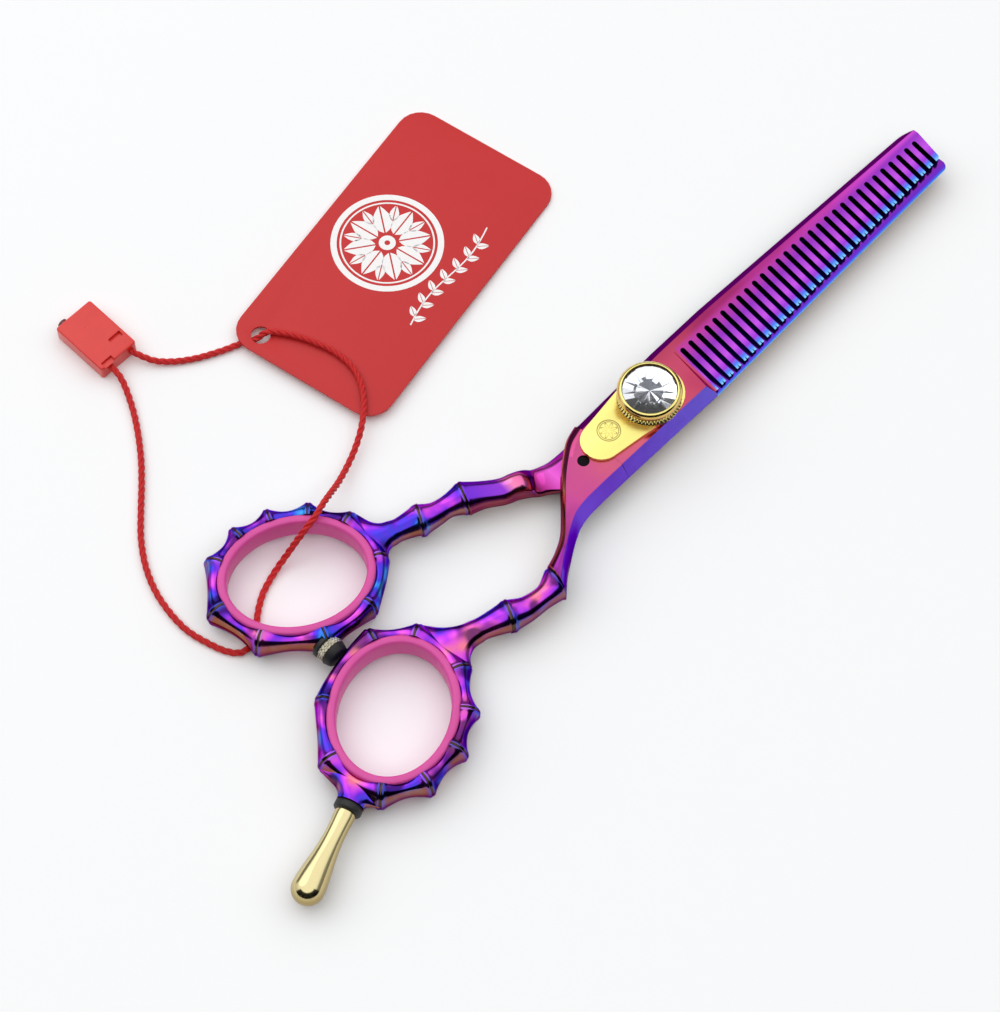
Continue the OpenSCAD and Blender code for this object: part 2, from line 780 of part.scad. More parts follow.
module bumper_stud() {
    color([0.7, 0.7, 0.72])
        on_bumper_axis(bumper_seat_y + 1.5)
            cylinder(d = bumper_stud_d, h = bumper_seat_y + 1.5 - bumper_tip_y - 0.2);
}

// Round piece of the bumper between two y values, with a hole for the stud
module bumper_ring(high, low, d) {
    on_bumper_axis(high)
        difference() {
            cylinder(d = d, h = high - low);
            translate([0, 0, -1])
                cylinder(d = bumper_stud_d, h = high - low + 2);
        }
}

module bumper_base() {
    color([0.06, 0.06, 0.07])
        bumper_ring(bumper_seat_y, bumper_base_y, bumper_d);
}

module bumper_collar() {
    color([0.7, 0.7, 0.68])
        bumper_ring(bumper_base_y, bumper_collar_y, bumper_d);
}

module bumper_tip() {
    color([0.06, 0.06, 0.07])
        difference() {
            on_bumper_axis(bumper_collar_y)
                cylinder(d1 = bumper_d - 0.1, d2 = bumper_d - 0.6, h = bumper_collar_y - bumper_tip_y);
            on_bumper_axis(bumper_collar_y + 1)
                cylinder(d = bumper_stud_d, h = bumper_collar_y - bumper_tip_y + 0.8);
        }
}

// Card with rounded corners and a hole for the cord, lying on one end and lifted at the other
module hang_tag() {
    inner = [tag_len / 2 - tag_corner, tag_w / 2 - tag_corner];
    color([0.8, 0.2, 0.2])
        translate([tag_centre[0], tag_centre[1], 0.02])
            rotate([0, 0, tag_turn])
                translate([tag_len / 2, 0, 0])
                    rotate([0, tag_tilt, 0])
                        translate([-tag_len / 2, 0, 0])
                            difference() {
                                linear_extrude(tag_t)
                                    polygon([
                                        for (q = [0 : 3], a = [0 : 15 : 90])
                                            let (
                                                sx = (q == 0 || q == 3) ? 1 : -1,
                                                sy = q < 2 ? 1 : -1
                                            )
                                            [sx * inner[0] + tag_corner * cos(90 * q + a),
                                             sy * inner[1] + tag_corner * sin(90 * q + a)]
                                    ]);
                                translate([tag_hole[0], tag_hole[1], -1])
                                    cylinder(d = tag_hole_d, h = tag_t + 2);
                            }
}

module tag_cord() {
    color([0.78, 0.1, 0.12])
        cord_tube(cord_route, cord_d);
}

module seal_body() {
    color([0.9, 0.22, 0.15])
        difference() {
            translate([seal_centre[0] - seal_w / 2, seal_mouth_y, 0])
                cube([seal_w, seal_len, seal_h]);
            // Slot over the lock, and the pin's hole at the far end
            translate([seal_centre[0] + 0.8, seal_centre[1] - 3.3, seal_h - 0.6])
                cube([2.6, 1.1, 2]);
            translate([seal_centre[0] - 2, seal_centre[1] + seal_len / 2 + 1, seal_h / 2])
                rotate([90, 0, 0])
                    cylinder(d = 2, h = 8);
        }
}

module seal_pin() {
    color([0.35, 0.08, 0.08])
        translate([seal_centre[0] - 2, seal_centre[1] + seal_len / 2 + 0.8, seal_h / 2])
            rotate([90, 0, 0])
                cylinder(d = 1.9, h = 6);
}

straight_blade();
straight_handle();
thumb_ring_insert();
pivot_bushing();
pivot_washer();
comb_blade();
comb_handle();
finger_ring_insert();
pivot_screw();
click_plate();
plate_pin();
spring_washer();
finger_rest_washer();
tension_knob();
knob_gem();
finger_rest();
bumper_stud();
bumper_base();
bumper_collar();
bumper_tip();
hang_tag();
tag_cord();
seal_body();
seal_pin();
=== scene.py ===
"""Looks of the thinning shears with bamboo-pattern handles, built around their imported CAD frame.

Lengths are in millimetres, in the frame's own axes, until a mesh is made.
"""

import json
import math

import bmesh
import bpy
import numpy as np
from mathutils import Matrix, Vector

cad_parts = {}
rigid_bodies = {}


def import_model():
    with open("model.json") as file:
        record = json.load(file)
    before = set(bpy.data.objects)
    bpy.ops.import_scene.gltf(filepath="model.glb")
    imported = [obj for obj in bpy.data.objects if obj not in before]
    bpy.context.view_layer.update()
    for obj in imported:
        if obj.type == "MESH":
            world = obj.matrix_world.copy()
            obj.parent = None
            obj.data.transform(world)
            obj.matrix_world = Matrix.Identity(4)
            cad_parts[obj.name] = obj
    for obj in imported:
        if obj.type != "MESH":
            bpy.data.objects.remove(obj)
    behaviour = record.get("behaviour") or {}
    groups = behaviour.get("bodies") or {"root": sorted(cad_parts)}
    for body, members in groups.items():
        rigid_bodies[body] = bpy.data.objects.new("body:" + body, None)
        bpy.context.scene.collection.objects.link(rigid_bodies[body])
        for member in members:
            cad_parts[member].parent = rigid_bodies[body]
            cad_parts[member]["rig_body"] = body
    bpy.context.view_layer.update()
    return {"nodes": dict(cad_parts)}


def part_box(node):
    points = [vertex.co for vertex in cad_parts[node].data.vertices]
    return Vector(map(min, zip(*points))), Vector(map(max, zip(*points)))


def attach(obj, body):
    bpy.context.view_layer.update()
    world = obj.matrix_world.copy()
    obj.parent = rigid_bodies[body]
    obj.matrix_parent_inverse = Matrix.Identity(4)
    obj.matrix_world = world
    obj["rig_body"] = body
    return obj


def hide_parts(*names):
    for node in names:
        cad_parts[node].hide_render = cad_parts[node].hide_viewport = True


MM = 0.001
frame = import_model()

# ---------------------------------------------------------------- view

VIEW_AZIMUTH = math.radians(-45.5)
VIEW_ELEVATION = math.radians(63.5)
VIEW_DISTANCE = 0.5756
VIEW_TARGET = Vector((-0.0295, 0.0064, 0))
FOCAL_LENGTH = 120.95

# Directions in plan, from the object towards the viewer and to the viewer's right
NEAR = Vector((math.sin(VIEW_AZIMUTH), -math.cos(VIEW_AZIMUTH), 0))
RIGHT = Vector((-NEAR.y, NEAR.x, 0))


def add_camera():
    data = bpy.data.cameras.new("camera")
    data.lens = FOCAL_LENGTH
    data.clip_start = 0.01
    back = NEAR * math.cos(VIEW_ELEVATION) + Vector((0, 0, math.sin(VIEW_ELEVATION)))
    camera = bpy.data.objects.new("camera", data)
    camera.location = VIEW_TARGET + VIEW_DISTANCE * back
    camera.rotation_euler = back.to_track_quat("Z", "Y").to_euler()
    bpy.context.scene.collection.objects.link(camera)
    bpy.context.scene.camera = camera


# ---------------------------------------------------------------- materials


def srgb(red, green, blue):
    """Linear colour, with alpha, of an 8-bit screen colour."""

    def linear(value):
        value /= 255
        return value / 12.92 if value <= 0.04045 else ((value + 0.055) / 1.055) ** 2.4

    return (linear(red), linear(green), linear(blue), 1.0)


class Nodes:
    """Short calls that add nodes to a shader tree."""

    def __init__(self, tree):
        self.tree = tree

    def add(self, kind, inputs=None, **settings):
        node = self.tree.nodes.new(kind)
        for name, value in settings.items():
            setattr(node, name, value)
        for key, value in (inputs or {}).items():
            self.join(value, node.inputs[key])
        return node

    def join(self, value, socket):
        if isinstance(value, bpy.types.NodeSocket):
            self.tree.links.new(value, socket)
        else:
            socket.default_value = value

    def math(self, operation, *values):
        node = self.add("ShaderNodeMath", dict(enumerate(values)), operation=operation)
        return node.outputs[0]

    def length(self, x, y):
        squares = self.math("ADD", self.math("MULTIPLY", x, x), self.math("MULTIPLY", y, y))
        return self.math("SQRT", squares)

    def dot(self, vector, direction):
        node = self.add("ShaderNodeVectorMath", {0: vector, 1: direction}, operation="DOT_PRODUCT")
        return node.outputs["Value"]

    def fade(self, value, low, high, first=0.0, last=1.0):
        """First at low, last at high, and smooth between them."""
        inputs = {"Value": value, "From Min": low, "From Max": high, "To Min": first, "To Max": last}
        node = self.add("ShaderNodeMapRange", inputs, interpolation_type="SMOOTHSTEP")
        return node.outputs["Result"]


class Paint(Nodes):
    """A material with a Principled shader, and the values of a surface point that feed it."""

    def __init__(self, name, colour, roughness, metallic=0.0, **sockets):
        self.material = bpy.data.materials.new(name)
        self.material.use_nodes = True
        super().__init__(self.material.node_tree)
        self.shader = self.tree.nodes["Principled BSDF"]
        self.shader.inputs["Base Color"].default_value = colour
        self.shader.inputs["Roughness"].default_value = roughness
        self.shader.inputs["Metallic"].default_value = metallic
        for socket, value in sockets.items():
            self.shader.inputs[socket.replace("_", " ")].default_value = value
        coords = self.tree.nodes.new("ShaderNodeTexCoord")
        scale = self.add("ShaderNodeVectorMath", operation="SCALE")
        self.tree.links.new(coords.outputs["Object"], scale.inputs[0])
        scale.inputs["Scale"].default_value = 1 / MM
        self.place = scale.outputs[0]
        self.normal = coords.outputs["Normal"]
        split = self.add("ShaderNodeSeparateXYZ", {0: self.place})
        self.x, self.y, self.z = split.outputs
        split = self.add("ShaderNodeSeparateXYZ", {0: self.normal})
        self.nx, self.ny, self.nz = split.outputs

    def toward(self, direction):
        """How far the surface faces a direction, from -1 to 1."""
        return self.dot(self.normal, tuple(direction))

    def ramp(self, factor, stops):
        """Screen colours at rising values of factor, as {value: (red, green, blue)}."""
        low, high = min(stops), max(stops)
        share = self.add("ShaderNodeMapRange", {"Value": factor, "From Min": low, "From Max": high})
        node = self.add("ShaderNodeValToRGB", {"Fac": share.outputs["Result"]})
        elements = node.color_ramp.elements
        while len(elements) < len(stops):
            elements.new(0.5)
        for element, (value, colour) in zip(elements, stops.items()):
            element.position = (value - low) / (high - low)
            element.color = srgb(*colour)
        return node.outputs["Color"]

    def mix(self, factor, first, second):
        node = self.add("ShaderNodeMix", {0: factor, 6: first, 7: second}, data_type="RGBA")
        return node.outputs[2]

    def noise(self, size, detail=2.0, stretch=(1, 1, 1)):
        """Noise with features of about that size in millimetres, from 0 to 1."""
        place = self.add("ShaderNodeVectorMath", {0: self.place, 1: stretch}, operation="MULTIPLY")
        inputs = {"Vector": place.outputs[0], "Scale": 1 / size, "Detail": detail}
        return self.add("ShaderNodeTexNoise", inputs).outputs[0]

    def colour(self, value):
        self.join(value, self.shader.inputs["Base Color"])

    def roughness(self, value, low, high):
        """Roughness that follows a value of 0 to 1."""
        node = self.add("ShaderNodeMapRange", {"Value": value, "To Min": low, "To Max": high})
        self.join(node.outputs["Result"], self.shader.inputs["Roughness"])

    def bump(self, height, depth):
        """Relief of a depth in millimetres."""
        node = self.add("ShaderNodeBump", {"Height": height, "Strength": 1.0, "Distance": depth * MM})
        self.join(node.outputs["Normal"], self.shader.inputs["Normal"])

    def near_joint(self):
        """The handles' mark of how near a bamboo joint is, from 0 to 1."""
        node = self.add("ShaderNodeAttribute", attribute_name="near_joint", attribute_type="GEOMETRY")
        return node.outputs["Fac"]

    def grooved(self, skin):
        """The skin's colour, with dark bronze in the grooves of the joints."""
        return self.mix(self.fade(self.near_joint(), 0.9, 0.96), skin, srgb(84, 66, 50))


def coating_polish(paint):
    """Faint handling marks in a polished coating."""
    paint.roughness(paint.noise(1.7, 5), 0.1, 0.2)
    paint.bump(paint.noise(6, 1), 0.01)


def handle_coating():
    """Magenta where it faces up, then violet, blue and cyan down the sides, and gold below."""
    paint = Paint("rainbow_handle", srgb(150, 60, 210), 0.14, 1.0)
    paint.shader.inputs["Specular Tint"].default_value = srgb(190, 130, 220)
    drift = paint.math("MULTIPLY_ADD", paint.noise(6, 2), 3.4, -1.9)
    drift = paint.math("ADD", drift, paint.fade(paint.y, 4, 14, 0.1, -0.2))
    height = paint.math("ADD", paint.nz, drift)
    cool = paint.ramp(height, {
        -0.6: (40, 120, 170), -0.2: (60, 150, 225), 0.15: (52, 66, 205), 0.5: (98, 46, 205),
        0.8: (176, 60, 216), 1.1: (214, 84, 200), 1.4: (226, 110, 150),
    })
    warm = paint.ramp(height, {
        -0.6: (196, 150, 74), 0: (184, 116, 70), 0.35: (140, 44, 84), 0.75: (176, 60, 200),
        1.1: (222, 90, 180), 1.4: (232, 140, 130),
    })
    leftward = paint.math("MULTIPLY_ADD", paint.nx, -1.0, paint.math("MULTIPLY", drift, 0.5))
    skin = paint.mix(paint.fade(leftward, 0.1, 0.75), cool, warm)
    below = paint.ramp(paint.nz, {-1: (130, 92, 50), -0.1: (206, 160, 84)})
    skin = paint.mix(paint.fade(paint.nz, 0.02, -0.3), skin, below)
    # Painted dark reflections: random blobs of near-black violet, standing in for dark parts of the
    # room mirrored in the polished coating
    shade = paint.fade(paint.noise(4.5, 1), 0.5, 0.64, 0.0, 0.8)
    skin = paint.mix(shade, skin, srgb(40, 18, 78))
    front = paint.fade(paint.toward(NEAR), 0.45, 0.8)
    front = paint.math("MULTIPLY", front, paint.fade(paint.nz, 0.75, 0.4))
    skin = paint.mix(paint.math("MULTIPLY", front, 0.85), skin, srgb(150, 92, 58))
    rim = paint.fade(paint.near_joint(), 0.7, 0.9)
    skin = paint.mix(paint.math("MULTIPLY", rim, 0.45), skin, srgb(66, 96, 215))
    paint.colour(paint.grooved(skin))
    coating_polish(paint)
    return paint.material


def edge_line(paint, start, end):
    """Height above the line in plan that an edge of a blade follows."""
    slope = (end[1] - start[1]) / (end[0] - start[0])
    line = paint.math("MULTIPLY_ADD", paint.x, slope, start[1] - slope * start[0])
    return paint.math("SUBTRACT", paint.y, line)


def comb_coating():
    paint = Paint("rainbow_comb", srgb(200, 80, 180), 0.14, 1.0)
    paint.shader.inputs["Specular Tint"].default_value = srgb(170, 90, 190)
    cloud = paint.math("MULTIPLY_ADD", paint.noise(9, 2), 24, -12)
    flat = paint.ramp(paint.math("ADD", paint.x, cloud), {
        -36: (160, 60, 190), -30: (132, 40, 120), -22: (186, 72, 140), -8: (198, 92, 112),
        10: (182, 66, 96), 24: (150, 44, 100), 44: (186, 58, 166), 60: (214, 76, 216),
        76: (232, 100, 238),
    })
    # Teeth colours by distance in from their tips: pale blue at the tips, part the coating's hue and
    # part a painted edge highlight, and a brighter pink-violet about 3 mm in that is a painted
    # highlight
    teeth = paint.ramp(edge_line(paint, (10, -6.3), (71.5, -2.8)), {
        0: (130, 200, 245), 0.8: (70, 120, 230), 1.6: (146, 58, 204), 3: (184, 80, 214),
        6: (140, 52, 180), 9: (176, 60, 150),
    })
    comb_area = paint.math("MULTIPLY", paint.fade(paint.x, 10.2, 10.7), paint.fade(paint.y, 4.4, 2.8))
    flat = paint.mix(paint.fade(paint.y, 1, 7, 0.0, 0.55), flat, srgb(140, 34, 72))
    top = paint.mix(comb_area, flat, teeth)
    spine = paint.ramp(paint.nz, {0: (70, 34, 110), 0.35: (84, 24, 70), 0.8: (120, 40, 84)})
    back = paint.ramp(paint.x, {-36: (104, 76, 196), -16: (112, 66, 206), 11: (116, 100, 226)})
    side = paint.mix(paint.fade(paint.ny, -0.2, 0.2), back, spine)
    tilt = paint.math("MULTIPLY", paint.fade(paint.nz, 0.95, 0.75), paint.fade(paint.x, 10.2, 9.8))
    tilt = paint.math("MAXIMUM", tilt, paint.fade(paint.ny, 0.3, 0.5))
    whole = paint.mix(tilt, top, side)
    step = paint.math("MULTIPLY", paint.fade(paint.nx, 0.15, 0.4), paint.fade(paint.x, 11.6, 11))
    step = paint.math("MULTIPLY", step, paint.fade(paint.x, 8.8, 9.2))
    whole = paint.mix(step, whole, srgb(250, 206, 120))
    # Painted dark reflection: faces that stand upright, the walls of the slots among them, are painted
    # near-black violet
    dark = paint.mix(paint.fade(paint.nz, 0.02, 0.2), srgb(40, 20, 66), whole)
    cheek = paint.fade(paint.toward(-RIGHT), 0.55, 0.8)
    shoulder = paint.math("MULTIPLY", cheek, paint.fade(paint.x, -11.5, -12.5))
    dark = paint.mix(shoulder, dark, srgb(190, 124, 78))
    paint.colour(paint.grooved(dark))
    coating_polish(paint)
    return paint.material


def straight_coating():
    paint = Paint("rainbow_straight", srgb(150, 60, 190), 0.14, 1.0)
    paint.shader.inputs["Specular Tint"].default_value = srgb(170, 100, 200)
    # Across the straight blade's strip, from its edge: pale cyan at the edge, part the coating's blue
    # and part a painted highlight, then blue and violet
    blade = paint.ramp(edge_line(paint, (10, -6.9), (70.9, -4.7)), {
        0: (96, 176, 228), 0.2: (60, 100, 215), 0.55: (96, 46, 190), 1.5: (120, 40, 160),
        4: (104, 36, 160),
    })
    # Along the shoulder: the dark maroon stop at x = -24.2 is painted shade in the saddle between the
    # knuckle and the pad
    pad = paint.ramp(paint.x, {
        -34: (110, 50, 200), -29: (140, 60, 200), -27.4: (236, 130, 176),
        -25.2: (226, 104, 164), -24.2: (112, 24, 74), -23: (176, 52, 140),
        -20.5: (222, 92, 200), -18: (196, 70, 180),
    })
    top = paint.mix(paint.fade(paint.x, -12, -8), pad, blade)
    around = paint.ramp(paint.toward(NEAR), {
        -1: (50, 34, 130), -0.3: (50, 36, 140), 0.2: (130, 50, 180), 0.6: (112, 34, 104),
        1: (140, 70, 70),
    })
    whole = paint.mix(paint.fade(paint.nz, 0.45, 0.9), around, top)
    below = paint.ramp(paint.nz, {-1: (130, 92, 50), 0: (190, 130, 84)})
    whole = paint.mix(paint.fade(paint.nz, 0.1, -0.15), whole, below)
    paint.colour(paint.grooved(whole))
    coating_polish(paint)
    return paint.material


def silicone():
    paint = Paint("pink_silicone", srgb(220, 76, 160), 0.45, Coat_Weight=0.06, Coat_Roughness=0.35)
    tone = paint.noise(7, 2)
    paint.colour(paint.mix(tone, srgb(214, 66, 152), srgb(226, 82, 168)))
    paint.roughness(paint.noise(0.8, 3), 0.38, 0.5)
    paint.bump(paint.noise(0.22, 2), 0.012)
    paint.shader.inputs["Subsurface Weight"].default_value = 0.1
    paint.shader.inputs["Subsurface Radius"].default_value = (0.002, 0.0006, 0.0009)
    return paint.material


def gold(name, light, deep, rough):
    """Polished plating whose colour deepens where it faces sideways, as painted shade on its sides."""
    paint = Paint(name, light, rough, 1.0)
    paint.colour(paint.mix(paint.fade(paint.nz, 0.2, 0.9), deep, light))
    paint.roughness(paint.noise(0.9, 4), rough * 0.8, rough * 1.3)
    paint.bump(paint.noise(0.35, 3), 0.004)
    return paint.material


ORNAMENT_CENTRE = (-9.2, 0.6)
ORNAMENT_RADIUS = 2.0


def ornament_plate():
    """Satin gold with a round ornament of two rings and eight petals."""
    paint = Paint("gold_plate", srgb(238, 226, 132), 0.3, 1.0)
    dx = paint.math("SUBTRACT", paint.x, ORNAMENT_CENTRE[0])
    dy = paint.math("SUBTRACT", paint.y, ORNAMENT_CENTRE[1])
    reach = paint.length(dx, dy)
    turn = paint.math("ARCTAN2", dy, dx)
    petal = paint.math("ABSOLUTE", paint.math("SINE", paint.math("MULTIPLY", turn, 4.0)))
    edge = paint.math("MULTIPLY", petal, ORNAMENT_RADIUS * 0.74)

    def line(value, at, width):
        off = paint.math("ABSOLUTE", paint.math("SUBTRACT", value, at))
        return paint.math("SUBTRACT", 1.0, paint.fade(off, width * 0.4, width))

    outer = line(reach, ORNAMENT_RADIUS, 0.13)
    inner = line(reach, ORNAMENT_RADIUS * 0.84, 0.09)
    lines = paint.math("MAXIMUM", outer, inner)
    petals = line(paint.math("SUBTRACT", reach, edge), 0.0, 0.12)
    lines = paint.math("MAXIMUM", lines, paint.math("MULTIPLY", petals, paint.fade(reach, 0.2, 0.5)))
    lines = paint.math("MULTIPLY", lines, paint.fade(paint.nz, 0.9, 0.99))
    paint.colour(paint.mix(paint.math("MULTIPLY", lines, 0.75), srgb(238, 226, 132), srgb(120, 96, 60)))
    grain = paint.noise(0.5, 3, (0.15, 1, 1))
    paint.roughness(grain, 0.22, 0.36)
    relief = paint.math("SUBTRACT", paint.math("MULTIPLY", grain, 0.15), lines)
    paint.bump(relief, 0.02)
    return paint.material


def crystal():
    paint = Paint("crystal", srgb(250, 251, 255), 0.01, IOR=1.55, Transmission_Weight=1.0)
    paint.roughness(paint.noise(2, 2), 0.0, 0.02)
    return paint.material


def foil():
    """Silver with painted reflections: facets picked at random, most of them near the middle, are
    painted dark grey for the dark of a room, and the rest near white.
    """
    paint = Paint("silver_foil", srgb(250, 250, 251), 0.1, 1.0)
    turn = paint.math("ARCTAN2", paint.y, paint.x)
    reach = paint.length(paint.x, paint.y)
    facet = paint.math("FLOOR", paint.math("MULTIPLY", turn, 12 / math.pi))
    ring = paint.math("FLOOR", paint.math("MULTIPLY", reach, 0.45))
    cell = paint.add("ShaderNodeCombineXYZ", {0: facet, 1: ring})
    chance = paint.add("ShaderNodeTexWhiteNoise", {"Vector": cell.outputs[0]}).outputs["Value"]
    limit = paint.fade(reach, 1.5, 3.0, 0.62, 0.12)
    share = paint.math("GREATER_THAN", chance, limit)
    paint.colour(paint.mix(share, srgb(92, 94, 100), srgb(253, 253, 253)))
    return paint.material


def rubber():
    paint = Paint("black_rubber", srgb(24, 23, 24), 0.5)
    paint.roughness(paint.noise(0.5, 3), 0.4, 0.62)
    paint.bump(paint.noise(0.15, 2), 0.01)
    return paint.material


def metal(name, light, rough):
    paint = Paint(name, light, rough, 1.0)
    shade = tuple(0.8 * c for c in light[:3]) + (1.0,)
    paint.colour(paint.mix(paint.noise(1.1, 3), shade, light))
    paint.roughness(paint.noise(0.7, 3), rough * 0.7, rough * 1.4)
    return paint.material


def plastic(name, light, deep, rough, coat=0.0):
    paint = Paint(name, light, rough, Coat_Weight=coat, Coat_Roughness=0.08)
    paint.colour(paint.mix(paint.noise(3, 3), deep, light))
    paint.roughness(paint.noise(0.6, 3), rough * 0.8, rough * 1.2)
    paint.bump(paint.noise(0.4, 2), 0.008)
    return paint.material


def card():
    paint = Paint("red_card", srgb(198, 20, 22), 0.55, Coat_Weight=0.03, Coat_Roughness=0.3)
    paint.colour(paint.mix(paint.noise(9, 3), srgb(196, 16, 19), srgb(202, 24, 24)))
    paint.roughness(paint.noise(0.3, 4), 0.42, 0.58)
    paint.bump(paint.noise(0.18, 3), 0.008)
    return paint.material


def print_ink():
    paint = Paint("white_print", srgb(250, 248, 246), 0.5)
    paint.colour(paint.mix(paint.noise(0.6, 3), srgb(246, 240, 238), srgb(252, 252, 251)))
    return paint.material


def cord_fibre():
    paint = Paint("red_cord", srgb(196, 24, 30), 0.62, Sheen_Weight=0.1, Sheen_Roughness=0.4)
    paint.colour(paint.mix(paint.noise(0.25, 4), srgb(166, 4, 10), srgb(232, 22, 22)))
    paint.bump(paint.noise(0.12, 3), 0.03)
    return paint.material


# ---------------------------------------------------------------- mesh building


def piece(name, points, faces, body, material, replaced=(), sharp=40):
    """A piece from points in millimetres. Edges sharper than that many degrees stay crisp, and a
    sharp of 0 leaves every face flat."""
    mesh = bpy.data.meshes.new(name)
    mesh.from_pydata([tuple(MM * float(c) for c in p) for p in points], [], faces)
    bm = bmesh.new()
    bm.from_mesh(mesh)
    bmesh.ops.remove_doubles(bm, verts=bm.verts, dist=1e-7)
    bmesh.ops.recalc_face_normals(bm, faces=bm.faces)
    bm.to_mesh(mesh)
    bm.free()
    return placed(name, mesh, body, material, replaced, sharp)


def placed(name, mesh, body, material, replaced=(), sharp=40):
    mesh.polygons.foreach_set("use_smooth", [sharp > 0] * len(mesh.polygons))
    mesh.set_sharp_from_angle(angle=math.radians(sharp))
    mesh.materials.clear()
    mesh.materials.append(material)
    made = bpy.data.objects.new(name, mesh)
    bpy.context.scene.collection.objects.link(made)
    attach(made, body)
    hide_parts(*replaced)
    return made


def refined(node, name, material, bevel=0.0, keep=None, sharp=35):
    """A piece on a CAD node's own shape, with its edges rounded. keep clips it to x above that."""
    source = frame["nodes"][node]
    bm = bmesh.new()
    bm.from_mesh(source.data)
    bmesh.ops.remove_doubles(bm, verts=bm.verts, dist=2e-7)
    if keep is not None:
        geometry = bm.verts[:] + bm.edges[:] + bm.faces[:]
        bmesh.ops.bisect_plane(
            bm, geom=geometry, plane_co=(keep * MM, 0, 0), plane_no=(-1, 0, 0), clear_outer=True
        )
    bmesh.ops.dissolve_limit(
        bm, angle_limit=math.radians(0.5), verts=bm.verts, edges=bm.edges, use_dissolve_boundaries=False
    )
    if bevel:
        paired = [edge for edge in bm.edges if len(edge.link_faces) == 2]
        crisp = [edge for edge in paired if edge.calc_face_angle(0) > math.radians(30)]
        bmesh.ops.bevel(bm, geom=crisp, offset=bevel * MM, segments=2, profile=0.6, affect="EDGES")
    mesh = bpy.data.meshes.new(name)
    bm.to_mesh(mesh)
    bm.free()
    return placed(name, mesh, source["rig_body"], material, (node,), sharp)


def grid_faces(rows, columns, first=0, rows_closed=False, columns_closed=True):
    """Faces of a grid of points given row by row."""
    faces = []
    for i in range(rows if rows_closed else rows - 1):
        for k in range(columns if columns_closed else columns - 1):
            a = first + i * columns + k
            b = first + i * columns + (k + 1) % columns
            c = first + (i + 1) % rows * columns + (k + 1) % columns
            d = first + (i + 1) % rows * columns + k
            faces.append((a, b, c, d))
    return faces


class Shell:
    """Points, faces and groove marks of one piece that is made of several skins."""

    def __init__(self):
        self.points = []
        self.faces = []
        self.marks = []

    def skin(self, rows, marks=None, closed=False):
        """Adds a skin over rows of points, each with its mark. An open one gets a cap at each end."""
        first = len(self.points)
        rows = np.asarray(rows, float)
        count, columns = rows.shape[:2]
        self.points.extend(rows.reshape(-1, 3))
        self.marks.extend(np.repeat(np.zeros(count) if marks is None else marks, columns))
        self.faces.extend(grid_faces(count, columns, first, rows_closed=closed))
        if not closed:
            self.faces.append(tuple(range(first, first + columns)))
            last = first + (count - 1) * columns
            self.faces.append(tuple(range(last, last + columns)))

    def finish(self, name, body, material, replaced=(), sharp=40):
        mesh = bpy.data.meshes.new(name)
        mesh.from_pydata([tuple(p * MM) for p in self.points], [], self.faces)
        marks = mesh.attributes.new("near_joint", "FLOAT", "POINT")
        marks.data.foreach_set("value", np.asarray(self.marks, np.float32))
        bm = bmesh.new()
        bm.from_mesh(mesh)
        bmesh.ops.recalc_face_normals(bm, faces=bm.faces)
        bm.to_mesh(mesh)
        bm.free()
        return placed(name, mesh, body, material, replaced, sharp)


def lathe(name, profile, place, body, material, replaced=(), segments=96, ridges=None, sharp=40):
    """A turned piece from (radius, height) pairs along the +Z of place. ridges(angle) for each pair
    is what it takes off the radius there."""
    rows = []
    angles = np.arange(segments) * 2 * math.pi / segments
    for k, (radius, height) in enumerate(profile):
        cut = ridges(k, angles) if ridges else 0
        reach = radius - cut * np.ones(segments)
        ring = np.stack([reach * np.cos(angles), reach * np.sin(angles), np.full(segments, height)], 1)
        rows.append(ring @ np.array(place.to_3x3()).T + np.array(place.translation))
    rows = np.array(rows)
    return piece(
        name,
        rows.reshape(-1, 3),
        grid_faces(len(profile), segments, rows_closed=profile[0][0] > 0),
        body,
        material,
        replaced,
        sharp,
    )


def smooth_line(points, steps):
    """Points on a smooth curve through the given ones, with that many steps to a span."""
    points = np.asarray(points, float)
    before = np.vstack([2 * points[0] - points[1], points[:-1]])
    after = np.vstack([points[1:], 2 * points[-1] - points[-2]])
    slopes = (after - before) / 2
    line = []
    for i in range(len(points) - 1):
        for t in np.arange(steps) / steps:
            line.append(
                (2 * t**3 - 3 * t**2 + 1) * points[i]
                + (t**3 - 2 * t**2 + t) * slopes[i]
                + (3 * t**2 - 2 * t**3) * points[i + 1]
                + (t**3 - t**2) * slopes[i + 1]
            )
    line.append(points[-1])
    return np.array(line)


# ---------------------------------------------------------------- cord, tag and seal

CORD_D = 1.2
STRANDS = 3
STRAND_R = 0.33
TWIST_PITCH = 4.2

